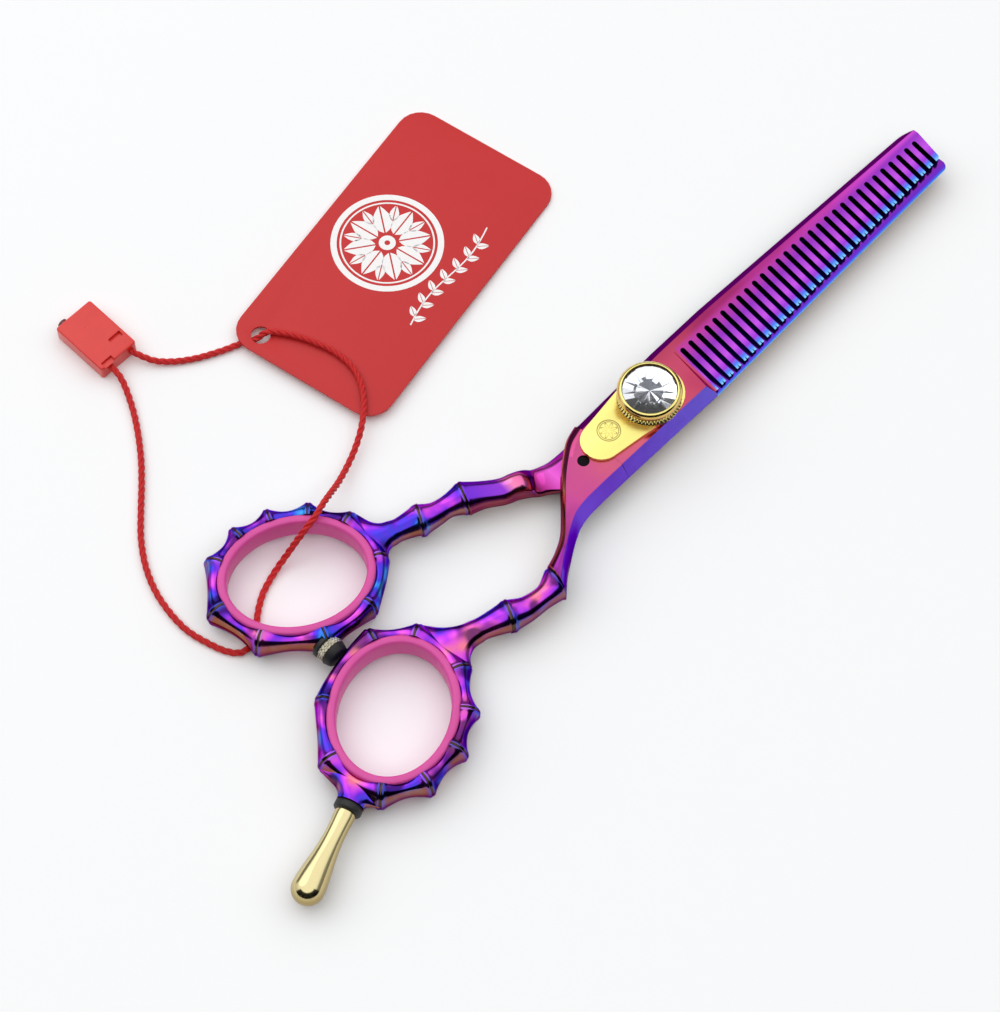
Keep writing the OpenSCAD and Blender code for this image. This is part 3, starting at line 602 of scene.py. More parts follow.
# Centre line of the cord from one mouth of the seal to the other, as part.scad has it
CORD_ROUTE = [
    (-53.4, 72.3, 1.7), (-52.8, 70.4, 1.5), (-51.5, 68, 1), (-49, 65.6, 0.7),
    (-45.8, 63.4, 0.65), (-42.2, 61.6, 0.65), (-40, 60.7, 0.65), (-38.4, 60.1, 0.65),
    (-37.1, 59.4, 0.65), (-36.3, 58.9, 0.9), (-35.6, 58.5, 1.5), (-34.9, 58.1, 2.15),
    (-34.1, 57.4, 2.5), (-33, 55.9, 2.55), (-31.6, 53.6, 2.5), (-30.3, 50.6, 2.45),
    (-29.2, 47, 2.4), (-29, 43.2, 2.4), (-30, 39.6, 2.4), (-32.4, 36.2, 2.45),
    (-35.8, 33.2, 2.5), (-39.4, 31.1, 1.9), (-43.2, 29.4, 1.9), (-46.8, 27.8, 3.2),
    (-49.8, 26.4, 5.5), (-52.4, 25.3, 7.1), (-55, 24.4, 7.5), (-57.6, 24.2, 6.6),
    (-59.8, 24.4, 4.6), (-61.8, 24.6, 2.5), (-64, 24.5, 1.2), (-66.6, 23.9, 0.7),
    (-69.2, 22.9, 0.62), (-71.6, 21.4, 0.62), (-73.6, 19.8, 0.62), (-75.4, 18.5, 0.62),
    (-77.4, 17.5, 0.62), (-79.3, 17.9, 0.62), (-80.7, 19.8, 0.62), (-81.8, 23, 0.65),
    (-82.6, 27, 0.65), (-82.4, 31.4, 0.65), (-81.4, 36, 0.65), (-79.4, 40.6, 0.65),
    (-76.4, 45, 0.65), (-72.8, 48.9, 0.65), (-69.4, 52.4, 0.65), (-66.2, 56, 0.65),
    (-63.2, 60, 0.65), (-60.8, 63.8, 0.7), (-59, 67.4, 1), (-58.1, 70, 1.5),
    (-57.9, 72.3, 1.7),
]


def line_frames(line):
    """Unit tangent, side and up vectors along a line."""
    ahead = np.gradient(line, axis=0)
    ahead /= np.linalg.norm(ahead, axis=1)[:, None]
    side = np.cross([0, 0, 1], ahead)
    side /= np.linalg.norm(side, axis=1)[:, None]
    return ahead, side, np.cross(ahead, side)


def line_lengths(line):
    return np.concatenate([[0], np.cumsum(np.linalg.norm(np.diff(line, axis=0), axis=1))])


def add_cord():
    line = smooth_line(CORD_ROUTE, 18)
    ahead, side, up = line_frames(line)
    along = line_lengths(line)
    shell = Shell()
    offset = CORD_D / 2 - STRAND_R
    around = np.arange(10) * 2 * math.pi / 10
    for strand in range(STRANDS):
        turn = 2 * math.pi * (along / TWIST_PITCH + strand / STRANDS)
        out = np.cos(turn)[:, None] * side + np.sin(turn)[:, None] * up
        across = np.cross(ahead, out)
        middle = line + offset * out
        rows = [
            middle + STRAND_R * (math.cos(a) * out + math.sin(a) * across) for a in around
        ]
        shell.skin(np.array(rows).transpose(1, 0, 2))
    cord = shell.finish("cord", "straight_half", cord_fibre(), ["tag_cord"], sharp=80)


TAG_CENTRE = (-8.4, 52.8)
TAG_TURN = math.radians(11)
TAG_TILT = math.radians(1.3)
TAG_LEN = 58.0
TAG_T = 0.5
PRINT_T = 0.03

tag_place = (
    Matrix.Translation((TAG_CENTRE[0], TAG_CENTRE[1], 0.02))
    @ Matrix.Rotation(TAG_TURN, 4, "Z")
    @ Matrix.Translation((TAG_LEN / 2, 0, 0))
    @ Matrix.Rotation(TAG_TILT, 4, "Y")
    @ Matrix.Translation((-TAG_LEN / 2, 0, 0))
)


class Print:
    """Thin raised shapes on the card's face."""

    def __init__(self):
        self.points = []
        self.faces = []

    def band(self, left, right, closed=False):
        """A strip between two lines of plan points."""
        first = len(self.points)
        count = len(left)
        for low in (True, False):
            for line in (left, right):
                for x, y in line:
                    height = TAG_T - PRINT_T if low else TAG_T + PRINT_T
                    self.points.append(tag_place @ Vector((x, y, height)))
        spans = count if closed else count - 1
        for i in range(spans):
            j = (i + 1) % count
            a, b = first + i, first + j
            c, d = a + count, b + count
            top = 2 * count
            self.faces.append((a + top, b + top, d + top, c + top))
            self.faces.append((a, c, d, b))
            self.faces.append((a, b, b + top, a + top))
            self.faces.append((c, c + top, d + top, d))
        if not closed:
            for i in (0, count - 1):
                a = first + i
                self.faces.append((a, a + 2 * count, a + 3 * count, a + count))

    def ring(self, centre, inner, outer, steps=72):
        turns = [2 * math.pi * k / steps for k in range(steps)]

        def circle(radius):
            return [(centre[0] + radius * math.cos(t), centre[1] + radius * math.sin(t)) for t in turns]

        self.band(circle(inner), circle(outer), closed=True)

    def leaf(self, root, angle, length, width, rib=0.14, steps=12):
        """A pointed leaf of two halves with a gap for its rib."""
        along = Vector((math.cos(angle), math.sin(angle)))
        across = Vector((-along.y, along.x))
        for side in (-1, 1):
            inner = []
            outer = []
            for k in range(steps + 1):
                u = k / steps
                middle = Vector(root) + along * length * u
                spread = rib + width / 2 * math.sin(math.pi * u**0.8) ** 0.9
                inner.append(middle + side * across * rib)
                outer.append(middle + side * across * max(spread, rib + 0.02))
            self.band([tuple(p) for p in inner], [tuple(p) for p in outer])


def add_tag():
    card_piece = refined("hang_tag", "tag_card", card(), bevel=0.1)
    art = Print()
    centre = (2.1, 3.2)
    art.ring(centre, 8.9, 10.0)
    art.ring(centre, 8.1, 8.4)
    art.ring(centre, 0.5, 1.5)
    for k in range(8):
        angle = math.pi / 4 * k
        root = (centre[0] + 2.1 * math.cos(angle), centre[1] + 2.1 * math.sin(angle))
        art.leaf(root, angle, 5.6, 3.2)
        angle += math.pi / 8
        root = (centre[0] + 4.6 * math.cos(angle), centre[1] + 4.6 * math.sin(angle))
        art.leaf(root, angle, 3.2, 1.5, rib=0.1)
    # A twig under the ring
    stem = [(-9.5 + 24 * u, -9.6 + 0.7 * math.sin(2 * math.pi * u)) for u in np.linspace(0, 1, 40)]
    art.band([(x, y - 0.13) for x, y in stem], [(x, y + 0.13) for x, y in stem])
    for k in range(2, 37, 5):
        for side in (-1, 1):
            art.leaf(stem[k + (side > 0)], side * 0.9, 2.2, 1.1, rib=0.06, steps=8)
    piece("tag_print", art.points, art.faces, "straight_half", print_ink())
    return card_piece


def rounded_box(low, high, plan_r, edge_r, steps=6):
    """Rows of points for a box with rounded corners in plan and rounded edges above and below."""
    rows = []
    levels = []
    for k in range(steps + 1):
        a = math.pi / 2 * k / steps
        levels.append((edge_r * (1 - math.sin(a)), low[2] + edge_r * (1 - math.cos(a))))
    for k in range(steps + 1):
        a = math.pi / 2 * k / steps
        levels.append((edge_r * (1 - math.cos(a)), high[2] - edge_r * (1 - math.sin(a))))
    for inset, height in levels:
        radius = max(plan_r - inset, 0.05)
        row = []
        for corner, (cx, cy) in enumerate(
            ((high[0], high[1]), (low[0], high[1]), (low[0], low[1]), (high[0], low[1]))
        ):
            outward = Vector((1 if cx == high[0] else -1, 1 if cy == high[1] else -1))
            middle = Vector((cx, cy)) - outward * plan_r
            for k in range(steps + 1):
                a = math.pi / 2 * (corner + k / steps)
                row.append((middle.x + radius * math.cos(a), middle.y + radius * math.sin(a), height))
        rows.append(row)
    return rows


def cut(made, tools):
    """Cuts each tool's mesh out of a piece."""
    for tool in tools:
        modifier = made.modifiers.new("cut", "BOOLEAN")
        modifier.object = tool
        modifier.solver = "EXACT"
        modifier.operation = "DIFFERENCE"
    bpy.context.view_layer.update()
    graph = bpy.context.evaluated_depsgraph_get()
    mesh = bpy.data.meshes.new_from_object(made.evaluated_get(graph))
    made.modifiers.clear()
    made.data = mesh
    for tool in tools:
        bpy.data.objects.remove(tool)


def as_tool(bm):
    mesh = bpy.data.meshes.new("tool")
    bm.to_mesh(mesh)
    bm.free()
    tool = bpy.data.objects.new("tool", mesh)
    bpy.context.scene.collection.objects.link(tool)
    return tool


def cutter(low, high):
    """A box to cut with."""
    bm = bmesh.new()
    bmesh.ops.create_cube(bm, size=1)
    size = [MM * (b - a) for a, b in zip(low, high)]
    middle = [MM * (a + b) / 2 for a, b in zip(low, high)]
    bmesh.ops.scale(bm, vec=size, verts=bm.verts)
    bmesh.ops.translate(bm, vec=middle, verts=bm.verts)
    return as_tool(bm)


def drill(x, y, low, high, radius):
    """A cylinder to cut with."""
    bm = bmesh.new()
    place = Matrix.Translation((x * MM, y * MM, (low + high) / 2 * MM))
    bmesh.ops.create_cone(
        bm, cap_ends=True, segments=48, radius1=radius * MM, radius2=radius * MM,
        depth=(high - low) * MM, matrix=place,
    )
    return as_tool(bm)


def add_seal():
    low, high = (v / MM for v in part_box("seal_body"))
    shell = Shell()
    shell.skin(rounded_box(low, high, 0.5, 0.3))
    red = plastic("red_seal", srgb(226, 38, 22), srgb(214, 30, 20), 0.3, 0.3)
    body = shell.finish(
        "seal_lock", "straight_half", red,
        ["seal_body"]
    )
    x, y = (low.x + high.x) / 2, (low.y + high.y) / 2
    cut(
        body,
        [
            cutter((x + 0.8, y - 3.3, high.z - 0.6), (x + 3.4, y - 2.2, high.z + 1)),
            cutter((x - 3.2, low.y - 1, high.z - 0.5), (x - 0.9, low.y + 1.1, high.z + 1)),
        ],
    )
    body.data.set_sharp_from_angle(angle=math.radians(40))
    return body


# ---------------------------------------------------------------- handles

JOINT_W = 2.8
SLIM_JOINT_W = JOINT_W - 0.9
JOINT_RISE = 3.0
RING_Z = 3.75
WAIST_W = 1.15
WAIST_H = 2.0
RING_A = 13.9
RING_B = 11.4
INSERT_A = 11.7
INSERT_B = 9.25
FLANGE = 1.6
INSERT_LOW = 1.3
INSERT_HIGH = 6.2
FLANGE_T = 0.75
THUMB_TILT = math.radians(-31.6)
FINGER_TILT = math.radians(32.7)
THUMB_CENTRE = (-64.25, 19.5)
FINGER_CENTRE = (-70.0, -9.2)
THUMB_JOINTS = [
    (6, JOINT_W), (37, JOINT_W), (69.5, JOINT_W), (98, JOINT_W), (124, JOINT_W),
    (160, JOINT_W), (197, JOINT_W), (249, JOINT_W), (292, SLIM_JOINT_W), (329, SLIM_JOINT_W),
]
FINGER_JOINTS = [
    (30.7, JOINT_W), (60.5, JOINT_W), (125, SLIM_JOINT_W), (174.5, JOINT_W), (217, JOINT_W),
    (247.6, JOINT_W), (281.5, JOINT_W), (315.6, JOINT_W), (350, JOINT_W),
]
GROOVE_W = 0.17
GROOVE_DEPTH = 0.24
LIP = 0.07


def turned(x, y, tilt):
    return x * math.cos(tilt) - y * math.sin(tilt), x * math.sin(tilt) + y * math.cos(tilt)


def near_joint(distance):
    """1 in the middle of a joint, falling to 0 at 3 mm from it."""
    return max(0.0, 1 - distance / 3)


def joint_relief(distance):
    """What a joint's groove and the lips beside it add to the radius."""
    lip = LIP * math.exp(-(((distance - 0.42) / 0.22) ** 2))
    return lip - GROOVE_DEPTH * math.exp(-((distance / GROOVE_W) ** 2))


def flange_gap(point, outward, centre, tilt, a, b):
    """How far inward from a point the ellipse with half-axes a and b lies."""
    ca, sa = math.cos(tilt), math.sin(tilt)
    px, py = point[0] - centre[0], point[1] - centre[1]
    lx, ly = px * ca + py * sa, -px * sa + py * ca
    ox, oy = outward[0] * ca + outward[1] * sa, -outward[0] * sa + outward[1] * ca
    qa = (ox / a) ** 2 + (oy / b) ** 2
    qb = -2 * (lx * ox / a**2 + ly * oy / b**2)
    qc = (lx / a) ** 2 + (ly / b) ** 2 - 1
    return (-qb - math.sqrt(qb**2 - 4 * qa * qc)) / (2 * qa)


def ring_place(centre, tilt, degrees):
    """Point of a ring's centre line in a direction from its centre, and the outward normal there."""
    local = math.radians(degrees) - tilt
    e = math.atan2(RING_A * math.sin(local), RING_B * math.cos(local))
    x, y = turned(RING_A * math.cos(e), RING_B * math.sin(e), tilt)
    ox, oy = turned(RING_B * math.cos(e), RING_A * math.sin(e), tilt)
    size = math.hypot(ox, oy)
    return np.array([centre[0] + x, centre[1] + y]), np.array([ox / size, oy / size])


def ring_rows(centre, tilt, joints, span_steps=30, arc_steps=30):
    """Rows of points around a bamboo ring, open on the inside for its insert, and joint marks."""
    rows = []
    marks = []
    joint_h = (JOINT_RISE + RING_Z) / 2
    for j, (start, start_w) in enumerate(joints):
        end, end_w = joints[(j + 1) % len(joints)]
        if end < start:
            end += 360
        span = math.radians(end - start) * (RING_A + RING_B) / 2
        for s in range(span_steps):
            t = s / span_steps
            u = t - 0.9 * math.sin(2 * math.pi * t) / (2 * math.pi)
            point, outward = ring_place(centre, tilt, start + (end - start) * u)
            swell = abs(2 * u - 1) ** 2.0
            full_w = start_w if u < 0.5 else end_w
            distance = min(u, 1 - u) * span
            relief = joint_relief(distance)
            half_w = WAIST_W + (full_w - WAIST_W) * swell + relief
            half_h = WAIST_H + (joint_h - WAIST_H) * swell + relief
            z = RING_Z + (joint_h - RING_Z) * swell
            gap = 0.08 + flange_gap(point, outward, centre, tilt, INSERT_A + FLANGE, INSERT_B + FLANGE)
            first = math.acos(-gap / half_w)
            section = []
            for k in range(arc_steps + 1):
                a = first * (1 - 2 * k / arc_steps)
                section.append((half_w * math.cos(a), z + half_h * math.sin(a)))
            seat_high = INSERT_HIGH - FLANGE_T - 0.03
            seat_low = INSERT_LOW + FLANGE_T + 0.03
            section.append((-gap, seat_low))
            section.append((-gap - 0.5, seat_low))
            section.append((-gap - 0.5, seat_high))
            section.append((-gap, seat_high))
            rows.append([(*(point + outward * o), h) for o, h in section])
            marks.append(near_joint(distance))
    return rows, marks


def flare_rows(root, heading, half_w, half_h, centre, tilt, left, right, steps=18, sides=48):
    """Rows of points where a shank widens into a ring, between two of the ring's joints. left and
    right are (direction, half-width) of the joints on either side of the shank's heading."""
    ahead = np.array([math.cos(heading), math.sin(heading)])
    normal = np.array([-ahead[1], ahead[0]])
    angles = np.arange(sides) * 2 * math.pi / sides
    starts, ends, leave, arrive = [], [], [], []
    for a in angles:
        v = math.cos(a)
        share = (1 + v) / 2
        width = left[1] if v > 0 else right[1]
        point, outward = ring_place(centre, tilt, right[0] + (left[0] - right[0]) * share)
        along = np.array([-outward[1], outward[0]])
        if np.dot(along, normal) < 0:
            along = -along
        start = np.array(root[:2]) + normal * half_w * v
        end = point + outward * (width - 0.1) * abs(v) ** 4
        reach = np.linalg.norm(end - start)
        turn = abs(v) ** 3
        into = -outward * (1 - turn) + along * math.copysign(turn, v)
        starts.append((*start, root[2] + half_h * math.sin(a)))
        ends.append((*end, RING_Z + (WAIST_H - 0.08) * math.sin(a)))
        leave.append((*(ahead * reach * 1.1), 0))
        arrive.append((*(into * reach * 1.1), 0))
    starts, ends, leave, arrive = (np.array(v) for v in (starts, ends, leave, arrive))
    rows = []
    for t in np.linspace(0, 1, steps + 1):
        rows.append(
            (2 * t**3 - 3 * t**2 + 1) * starts
            + (t**3 - 2 * t**2 + t) * leave
            + (3 * t**2 - 2 * t**3) * ends
            + (t**3 - t**2) * arrive
        )
    return rows


def tube_rows(stations, first_heading=None, last_heading=None, joints=(), steps=10, sides=40):
    """Rows of points along a shank. Stations are (x, y, z, half width, half height), and joints
    lists those that carry a groove, where the shape may turn sharply."""
    breaks = sorted(set([0, len(stations) - 1] + list(joints)))
    parts = [smooth_line(stations[a : b + 1], steps) for a, b in zip(breaks, breaks[1:])]
    line = np.vstack([p[:-1] for p in parts] + [parts[-1][-1:]])
    path = line[:, :2]
    ahead = np.gradient(path, axis=0)
    headings = np.unwrap(np.arctan2(ahead[:, 1], ahead[:, 0]))
    away = line_lengths(path)
    reach = 2.5

    def blend(target, distance):
        share = np.clip(1 - distance / reach, 0, 1) ** 1.5
        turn = (target - headings + math.pi) % (2 * math.pi) - math.pi
        return headings + share * turn

    if first_heading is not None:
        headings = blend(first_heading, away)
    if last_heading is not None:
        headings = blend(last_heading, away[-1] - away)
    spots = [np.array(stations[j][:2], float) for j in joints]
    rows = []
    marks = []
    angles = np.arange(sides) * 2 * math.pi / sides
    for (x, y, z, half_w, half_h), heading in zip(line, headings):
        distance = min([np.hypot(*(np.array([x, y]) - s)) for s in spots] or [99])
        relief = joint_relief(distance)
        across = (half_w + relief) * np.cos(angles)
        east = x - math.sin(heading) * across
        north = y + math.cos(heading) * across
        rows.append(np.stack([east, north, z + (half_h + relief) * np.sin(angles)], 1))
        marks.append(near_joint(distance))
    return rows, marks


THUMB_SHANK = [
    (-34.4, 10.4, 4, 3.1, 3.1), (-35, 10.6, 4, 2.6, 2.7), (-37.2, 11.2, 4, 1.95, 2.1),
    (-39.6, 11.7, 3.9, 2.1, 2.2), (-41.7, 12.5, 3.85, 2.7, 2.8), (-42.3, 12.8, 3.8, 3.1, 3.1),
    (-43, 13.1, 3.8, 2.5, 2.6), (-45.8, 14, RING_Z, 2, 2.1), (-47.4, 14.55, RING_Z, 2.2, 2.15),
]
FINGER_SHANK = [
    (-34.6, -11.8, 4.1, 3.1, 3.2), (-36.4, -12.1, 4.1, 2.3, 2.5), (-38.4, -12, 4, 1.95, 2.2),
    (-41.4, -11.5, 3.9, 2.2, 2.3), (-43.7, -10.6, 3.85, 2.7, 2.8), (-44.4, -10.3, 3.8, 3.1, 3.2),
    (-45.1, -10, 3.8, 2.6, 2.7), (-48.6, -8.8, RING_Z, 2, 2.1), (-50.4, -8.3, RING_Z, 2.1, 2.15),
]
THUMB_WELD_DIR = math.radians(157)
FINGER_WELD_DIR = math.radians(167)
REST_ROOT = (-86.0, -15.3)
REST_DIR = math.radians(200.5)
REST_WASHER_T = 1.6

rest_place = (
    Matrix.Translation((REST_ROOT[0], REST_ROOT[1], RING_Z))
    @ Matrix.Rotation(REST_DIR, 4, "Z")
    @ Matrix.Rotation(math.pi / 2, 4, "Y")
)


def add_handle(name, node, body, coating, ring, shank, weld, flares):
    shell = Shell()
    shell.skin(*ring_rows(*ring), closed=True)
    shell.skin(*tube_rows(shank, weld, joints=(0, 5)))
    for flare in flares:
        shell.skin(flare_rows(*flare))
    shell.finish(name, body, coating, [node])


def add_handles(coating):
    ring = (THUMB_CENTRE, THUMB_TILT, THUMB_JOINTS)
    root = THUMB_SHANK[-1]
    flare = (
        root, math.radians(161), root[3], root[4], THUMB_CENTRE, THUMB_TILT, (-31, SLIM_JOINT_W),
        (6, JOINT_W),
    )
    add_handle(
        "thumb_handle", "straight_handle", "straight_half", coating, ring, THUMB_SHANK,
        THUMB_WELD_DIR, [flare],
    )

    ring = (FINGER_CENTRE, FINGER_TILT, FINGER_JOINTS)
    root = FINGER_SHANK[-1]
    shank_flare = (
        root, math.radians(165), root[3], root[4], FINGER_CENTRE, FINGER_TILT, (-10, JOINT_W),
        (30.7, JOINT_W),
    )
    seat = (*REST_ROOT, RING_Z)
    rest_flare = (
        seat, REST_DIR - math.pi, 2.4, 2.4, FINGER_CENTRE, FINGER_TILT, (174.5, JOINT_W),
        (217, JOINT_W),
    )
    flares = [shank_flare, rest_flare]
    add_handle(
        "finger_handle", "comb_handle", "comb_half", coating, ring, FINGER_SHANK, FINGER_WELD_DIR,
        flares,
    )


INSERT_SECTION = [
    (0.1, 1.75), (0.02, 2.6), (0, 3.75), (0.02, 4.9), (0.1, 5.75), (0.2, 5.98), (0.36, 6.13),
    (0.6, 6.2), (1.15, 6.2), (1.4, 6.12), (1.55, 5.95), (1.6, 5.7), (1.6, 5.47), (0.65, 5.45),
    (0.65, 2.05), (1.6, 2.03), (1.6, 1.8), (1.55, 1.55), (1.4, 1.38), (1.15, 1.3), (0.6, 1.3),
    (0.36, 1.37), (0.2, 1.52),
]


def add_insert(name, node, body, centre, tilt, material):
    rows = []
    for k in range(144):
        t = 2 * math.pi * k / 144
        row = []
        for out, height in INSERT_SECTION:
            x, y = turned((INSERT_A + out) * math.cos(t), (INSERT_B + out) * math.sin(t), tilt)
            row.append((centre[0] + x, centre[1] + y, height))
        rows.append(row)
    shell = Shell()
    shell.skin(rows, closed=True)
    shell.finish(name, body, material, [node])


# ---------------------------------------------------------------- blades

# Outline of a flat blade's section: side that the distance is measured from, inset from that
# side's edge in millimetres, and share of the thickness. 1 is the back edge's side and -1 the
# cheek's. Side 0 is the middle
COMB_EDGES = [
    (1, 0, 0), (1, 1.764, 0.98), (1, 1.92, 1), (0, 0, 1), (-1, 1.6, 1), (-1, 1.45, 0.98),
    (-1, 0.7, 0.82), (-1, 0.58, 0.72), (-1, 0.42, 0.68), (-1, 0.3, 0.6), (-1, 0.05, 0.5),
    (-1, 0, 0.4), (-1, 0, 0), (0, 0, 0),
]
STRAIGHT_EDGES = [
    (1, 1.8, 0), (1, 0.3, 0.84), (1, 0.34, 0.95), (1, 0.6, 1), (0, 0, 1), (-1, 1.9, 1),
    (-1, 1.7, 0.98), (-1, 0.15, 0.45), (-1, 0, 0.35), (-1, 0, 0.1), (-1, 0.2, 0), (0, 0, 0),
]

# Stations: back edge (x, y), cheek edge (x, y), roundness, mid height and half-height
COMB_SHOULDER = [
    (-12, -6.95, -12, 5.95, 0, 5.7, 1.3), (-15.6, -6.95, -15, 5, 0, 5.7, 1.3),
    (-18.8, -7, -18, 3, 0, 5.7, 1.3), (-21.6, -7.15, -20.6, 0.9, 0.02, 5.7, 1.35),
    (-24.2, -7.6, -23, -1.4, 0.06, 5.5, 1.5), (-26.8, -8.8, -25.6, -4, 0.16, 5.2, 1.75),
    (-29.4, -10.4, -28.3, -6.4, 0.32, 4.9, 2.1), (-32, -12.2, -31, -7.8, 0.55, 4.5, 2.6),
    (-35.3, -14.8, -33.9, -8.8, 0.9, 4.1, 3.2),
]
STRAIGHT_SHOULDER = [
    (-11, -6.9, -11, 5.4, 0, 3.05, 1.3), (-14.5, -6, -14, 5.3, 0.05, 3.05, 1.3),
    (-18, -4, -16.6, 5.3, 0.2, 3.05, 1.3), (-21, -1.5, -18.8, 5.4, 0.45, 3.05, 1.3),
    (-23.2, 0.6, -20.6, 5.8, 0.75, 3.05, 1.3), (-24.7, 1.9, -22, 6.3, 1, 2.95, 1.25),
    (-25.7, 2.6, -23.1, 6.9, 1, 3.45, 2.05), (-26.7, 3.2, -24.3, 7.4, 1, 3.75, 2.6),
    (-27.8, 3.8, -25.8, 8, 1, 3.85, 2.7), (-29.9, 4.6, -27.8, 8.8, 1, 3.95, 2.35),
    (-32.8, 6.5, -30.4, 10.7, 1, 4, 2.5), (-35.6, 7.55, -33.2, 13.25, 1, 4, 3.1),
]


def shoulder_rows(stations, edges, joint, steps=12, fill=4):
    """Rows of points that turn a flat blade's section into a round shank's, and joint marks."""
    rows = []
    marks = []
    for bx, by, cx, cy, roundness, mid_z, half_h in smooth_line(stations, steps):
        middle = np.array([bx + cx, by + cy]) / 2
        half = np.array([bx - cx, by - cy]) / 2
        width = 2 * np.linalg.norm(half)
        distance = np.linalg.norm(middle - joint)
        relief = joint_relief(distance)
        roundness = min(max(roundness, 0), 1)
        flat = []
        for side, inset, up in edges:
            flat.append((side * (1 - 2 * inset / width), 2 * up - 1))
        flat = np.array(flat)
        spans = np.roll(flat, -1, axis=0) - flat
        flat = (flat[:, None] + spans[:, None] * (np.arange(fill) / fill)[None, :, None]).reshape(-1, 2)
        angles = np.arctan2(flat[:, 1], flat[:, 0])
        shape = flat * (1 - roundness) + np.stack([np.cos(angles), np.sin(angles)], 1) * roundness
        spots = middle + half * shape[:, :1] * (1 + 2 * relief / width)
        heights = mid_z + (half_h + relief) * shape[:, 1]
        rows.append(np.column_stack([spots, heights]))
        marks.append(near_joint(distance))
    return rows, marks


def add_blades():
    comb = comb_coating()
    straight = straight_coating()
    refined("comb_blade", "comb_plate", comb, keep=-12.0, sharp=0)
    shell = Shell()
    shell.skin(*shoulder_rows(COMB_SHOULDER, COMB_EDGES, (-34.6, -11.8)))
    shoulder = shell.finish(
        "comb_shoulder", "comb_half", comb, ["comb_blade"], sharp=24
    )
    low, high = (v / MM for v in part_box("plate_pin"))
    pin_x, pin_y = (low.x + high.x) / 2, (low.y + high.y) / 2
    pin_radius = (high.x - low.x) / 2
    cut(shoulder, [drill(pin_x, pin_y, low.z, 9, pin_radius + 0.02)])
    shoulder.data.set_sharp_from_angle(angle=math.radians(24))
    refined("straight_blade", "straight_plate", straight, keep=-11.0, sharp=0)
    shell = Shell()
    shell.skin(*shoulder_rows(STRAIGHT_SHOULDER, STRAIGHT_EDGES, (-34.4, 10.4)))
    shell.finish(
        "straight_shoulder", "straight_half", straight, ["straight_blade"], sharp=60
    )


# ---------------------------------------------------------------- pivot

KNOB_SEGMENTS = 324
FOOT_TEETH = 54
SKIRT_RIDGES = 54


def add_knob(gilding):
    low, high = (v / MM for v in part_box("tension_knob"))
    foot_r = high.x
    base, top = low.z, high.z
    skirt_r = foot_r - 0.66
    bezel_r = foot_r - 0.22
    skirt = [(skirt_r, base + height) for height in (0.66, 0.8, 1.4, 2.0, 2.12)]
    profile = [
        (2.4, base + 1.0), (2.4, base + 0.02), (foot_r - 0.3, base), (foot_r - 0.2, base + 0.08),
        (foot_r - 0.2, base + 0.36), (foot_r - 0.34, base + 0.5), *skirt, (skirt_r - 0.12, base + 2.22),
        (skirt_r - 0.1, base + 2.34), (bezel_r - 0.16, base + 2.42), (bezel_r - 0.03, base + 2.52),
        (bezel_r, base + 2.68), (bezel_r - 0.04, base + 2.9), (bezel_r - 0.34, top - 0.2),
        (bezel_r - 0.5, top - 0.06), (bezel_r - 0.66, top), (bezel_r - 0.8, top - 0.06),
        (foot_r - 1.13, top - 0.3), (foot_r - 1.15, base + 1.0),
    ]

    def ridges(k, angles):
        if 2 <= k <= 5:
            return 0.2 * np.abs(((angles * FOOT_TEETH / (2 * math.pi)) % 1) * 2 - 1)
        if 7 <= k <= 9:
            return 0.32 * np.abs(((angles * SKIRT_RIDGES / (2 * math.pi)) % 1) * 2 - 1)
        return 0.0

    lathe(
        "knob", profile, Matrix.Identity(4), "knob", gilding, ["tension_knob"],
        segments=KNOB_SEGMENTS, ridges=ridges, sharp=28,
    )


def add_gem():
    """A pointed round-cut stone over a foil cup, with facets that run out from both its points."""
    low, high = (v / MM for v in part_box("knob_gem"))
    radius = high.x * 1.01
    girdle = high.z - 0.72
    tip_z = girdle - 0.5

    def ring(r, z, count, phase=0.0):
        turns = [2 * math.pi * (k + phase) / count for k in range(count)]
        return [(r * math.cos(t), r * math.sin(t), z) for t in turns]

    points = [(0, 0, high.z - 0.02)] + ring(radius * 0.5, high.z - 0.24, 12)
    points += ring(radius, girdle, 24, 0.5)
    points += ring(radius, girdle - 0.08, 24, 0.5) + [(0, 0, tip_z)]
    faces = []
    for k in range(12):
        a, b = 1 + k, 1 + (k + 1) % 12
        rim = [13 + (2 * k + j) % 24 for j in (-1, 0, 1, 2)]
        faces += [(0, a, b), (a, rim[0], rim[1]), (a, rim[1], b), (b, rim[1], rim[2])]
    tip = len(points) - 1
    for k in range(24):
        m = (k + 1) % 24
        faces += [(13 + k, 37 + k, 37 + m, 13 + m), (37 + k, tip, 37 + m)]
    piece("gem_stone", points, faces, "knob", crystal(), ["knob_gem"], sharp=0)

    # Foil cup: rim, a middle ring that rises and falls from facet to facet, and a point
    middle_z = (girdle + tip_z) / 2 - 0.12
    middle = ring(radius * 0.5, middle_z, 24)
    middle = [(x, y, z + 0.1 * (-1) ** k) for k, (x, y, z) in enumerate(middle)]
    cup = ring(radius, girdle - 0.1, 24, 0.5) + middle + [(0, 0, tip_z - 0.03)]
    under = [(x, y, z - 0.08) for x, y, z in cup]
    faces = []
    for k in range(24):
        m = (k + 1) % 24
        for low in (0, 49):
            faces += [(low + k, low + m, low + 24 + m), (low + k, low + 24 + m, low + 24 + k)]
            faces.append((low + 24 + k, low + 24 + m, low + 48))
        faces.append((k, 49 + k, 49 + m, m))
    piece("gem_foil", cup + under, faces, "knob", foil(), sharp=0)


# ---------------------------------------------------------------- finger rest and bumper


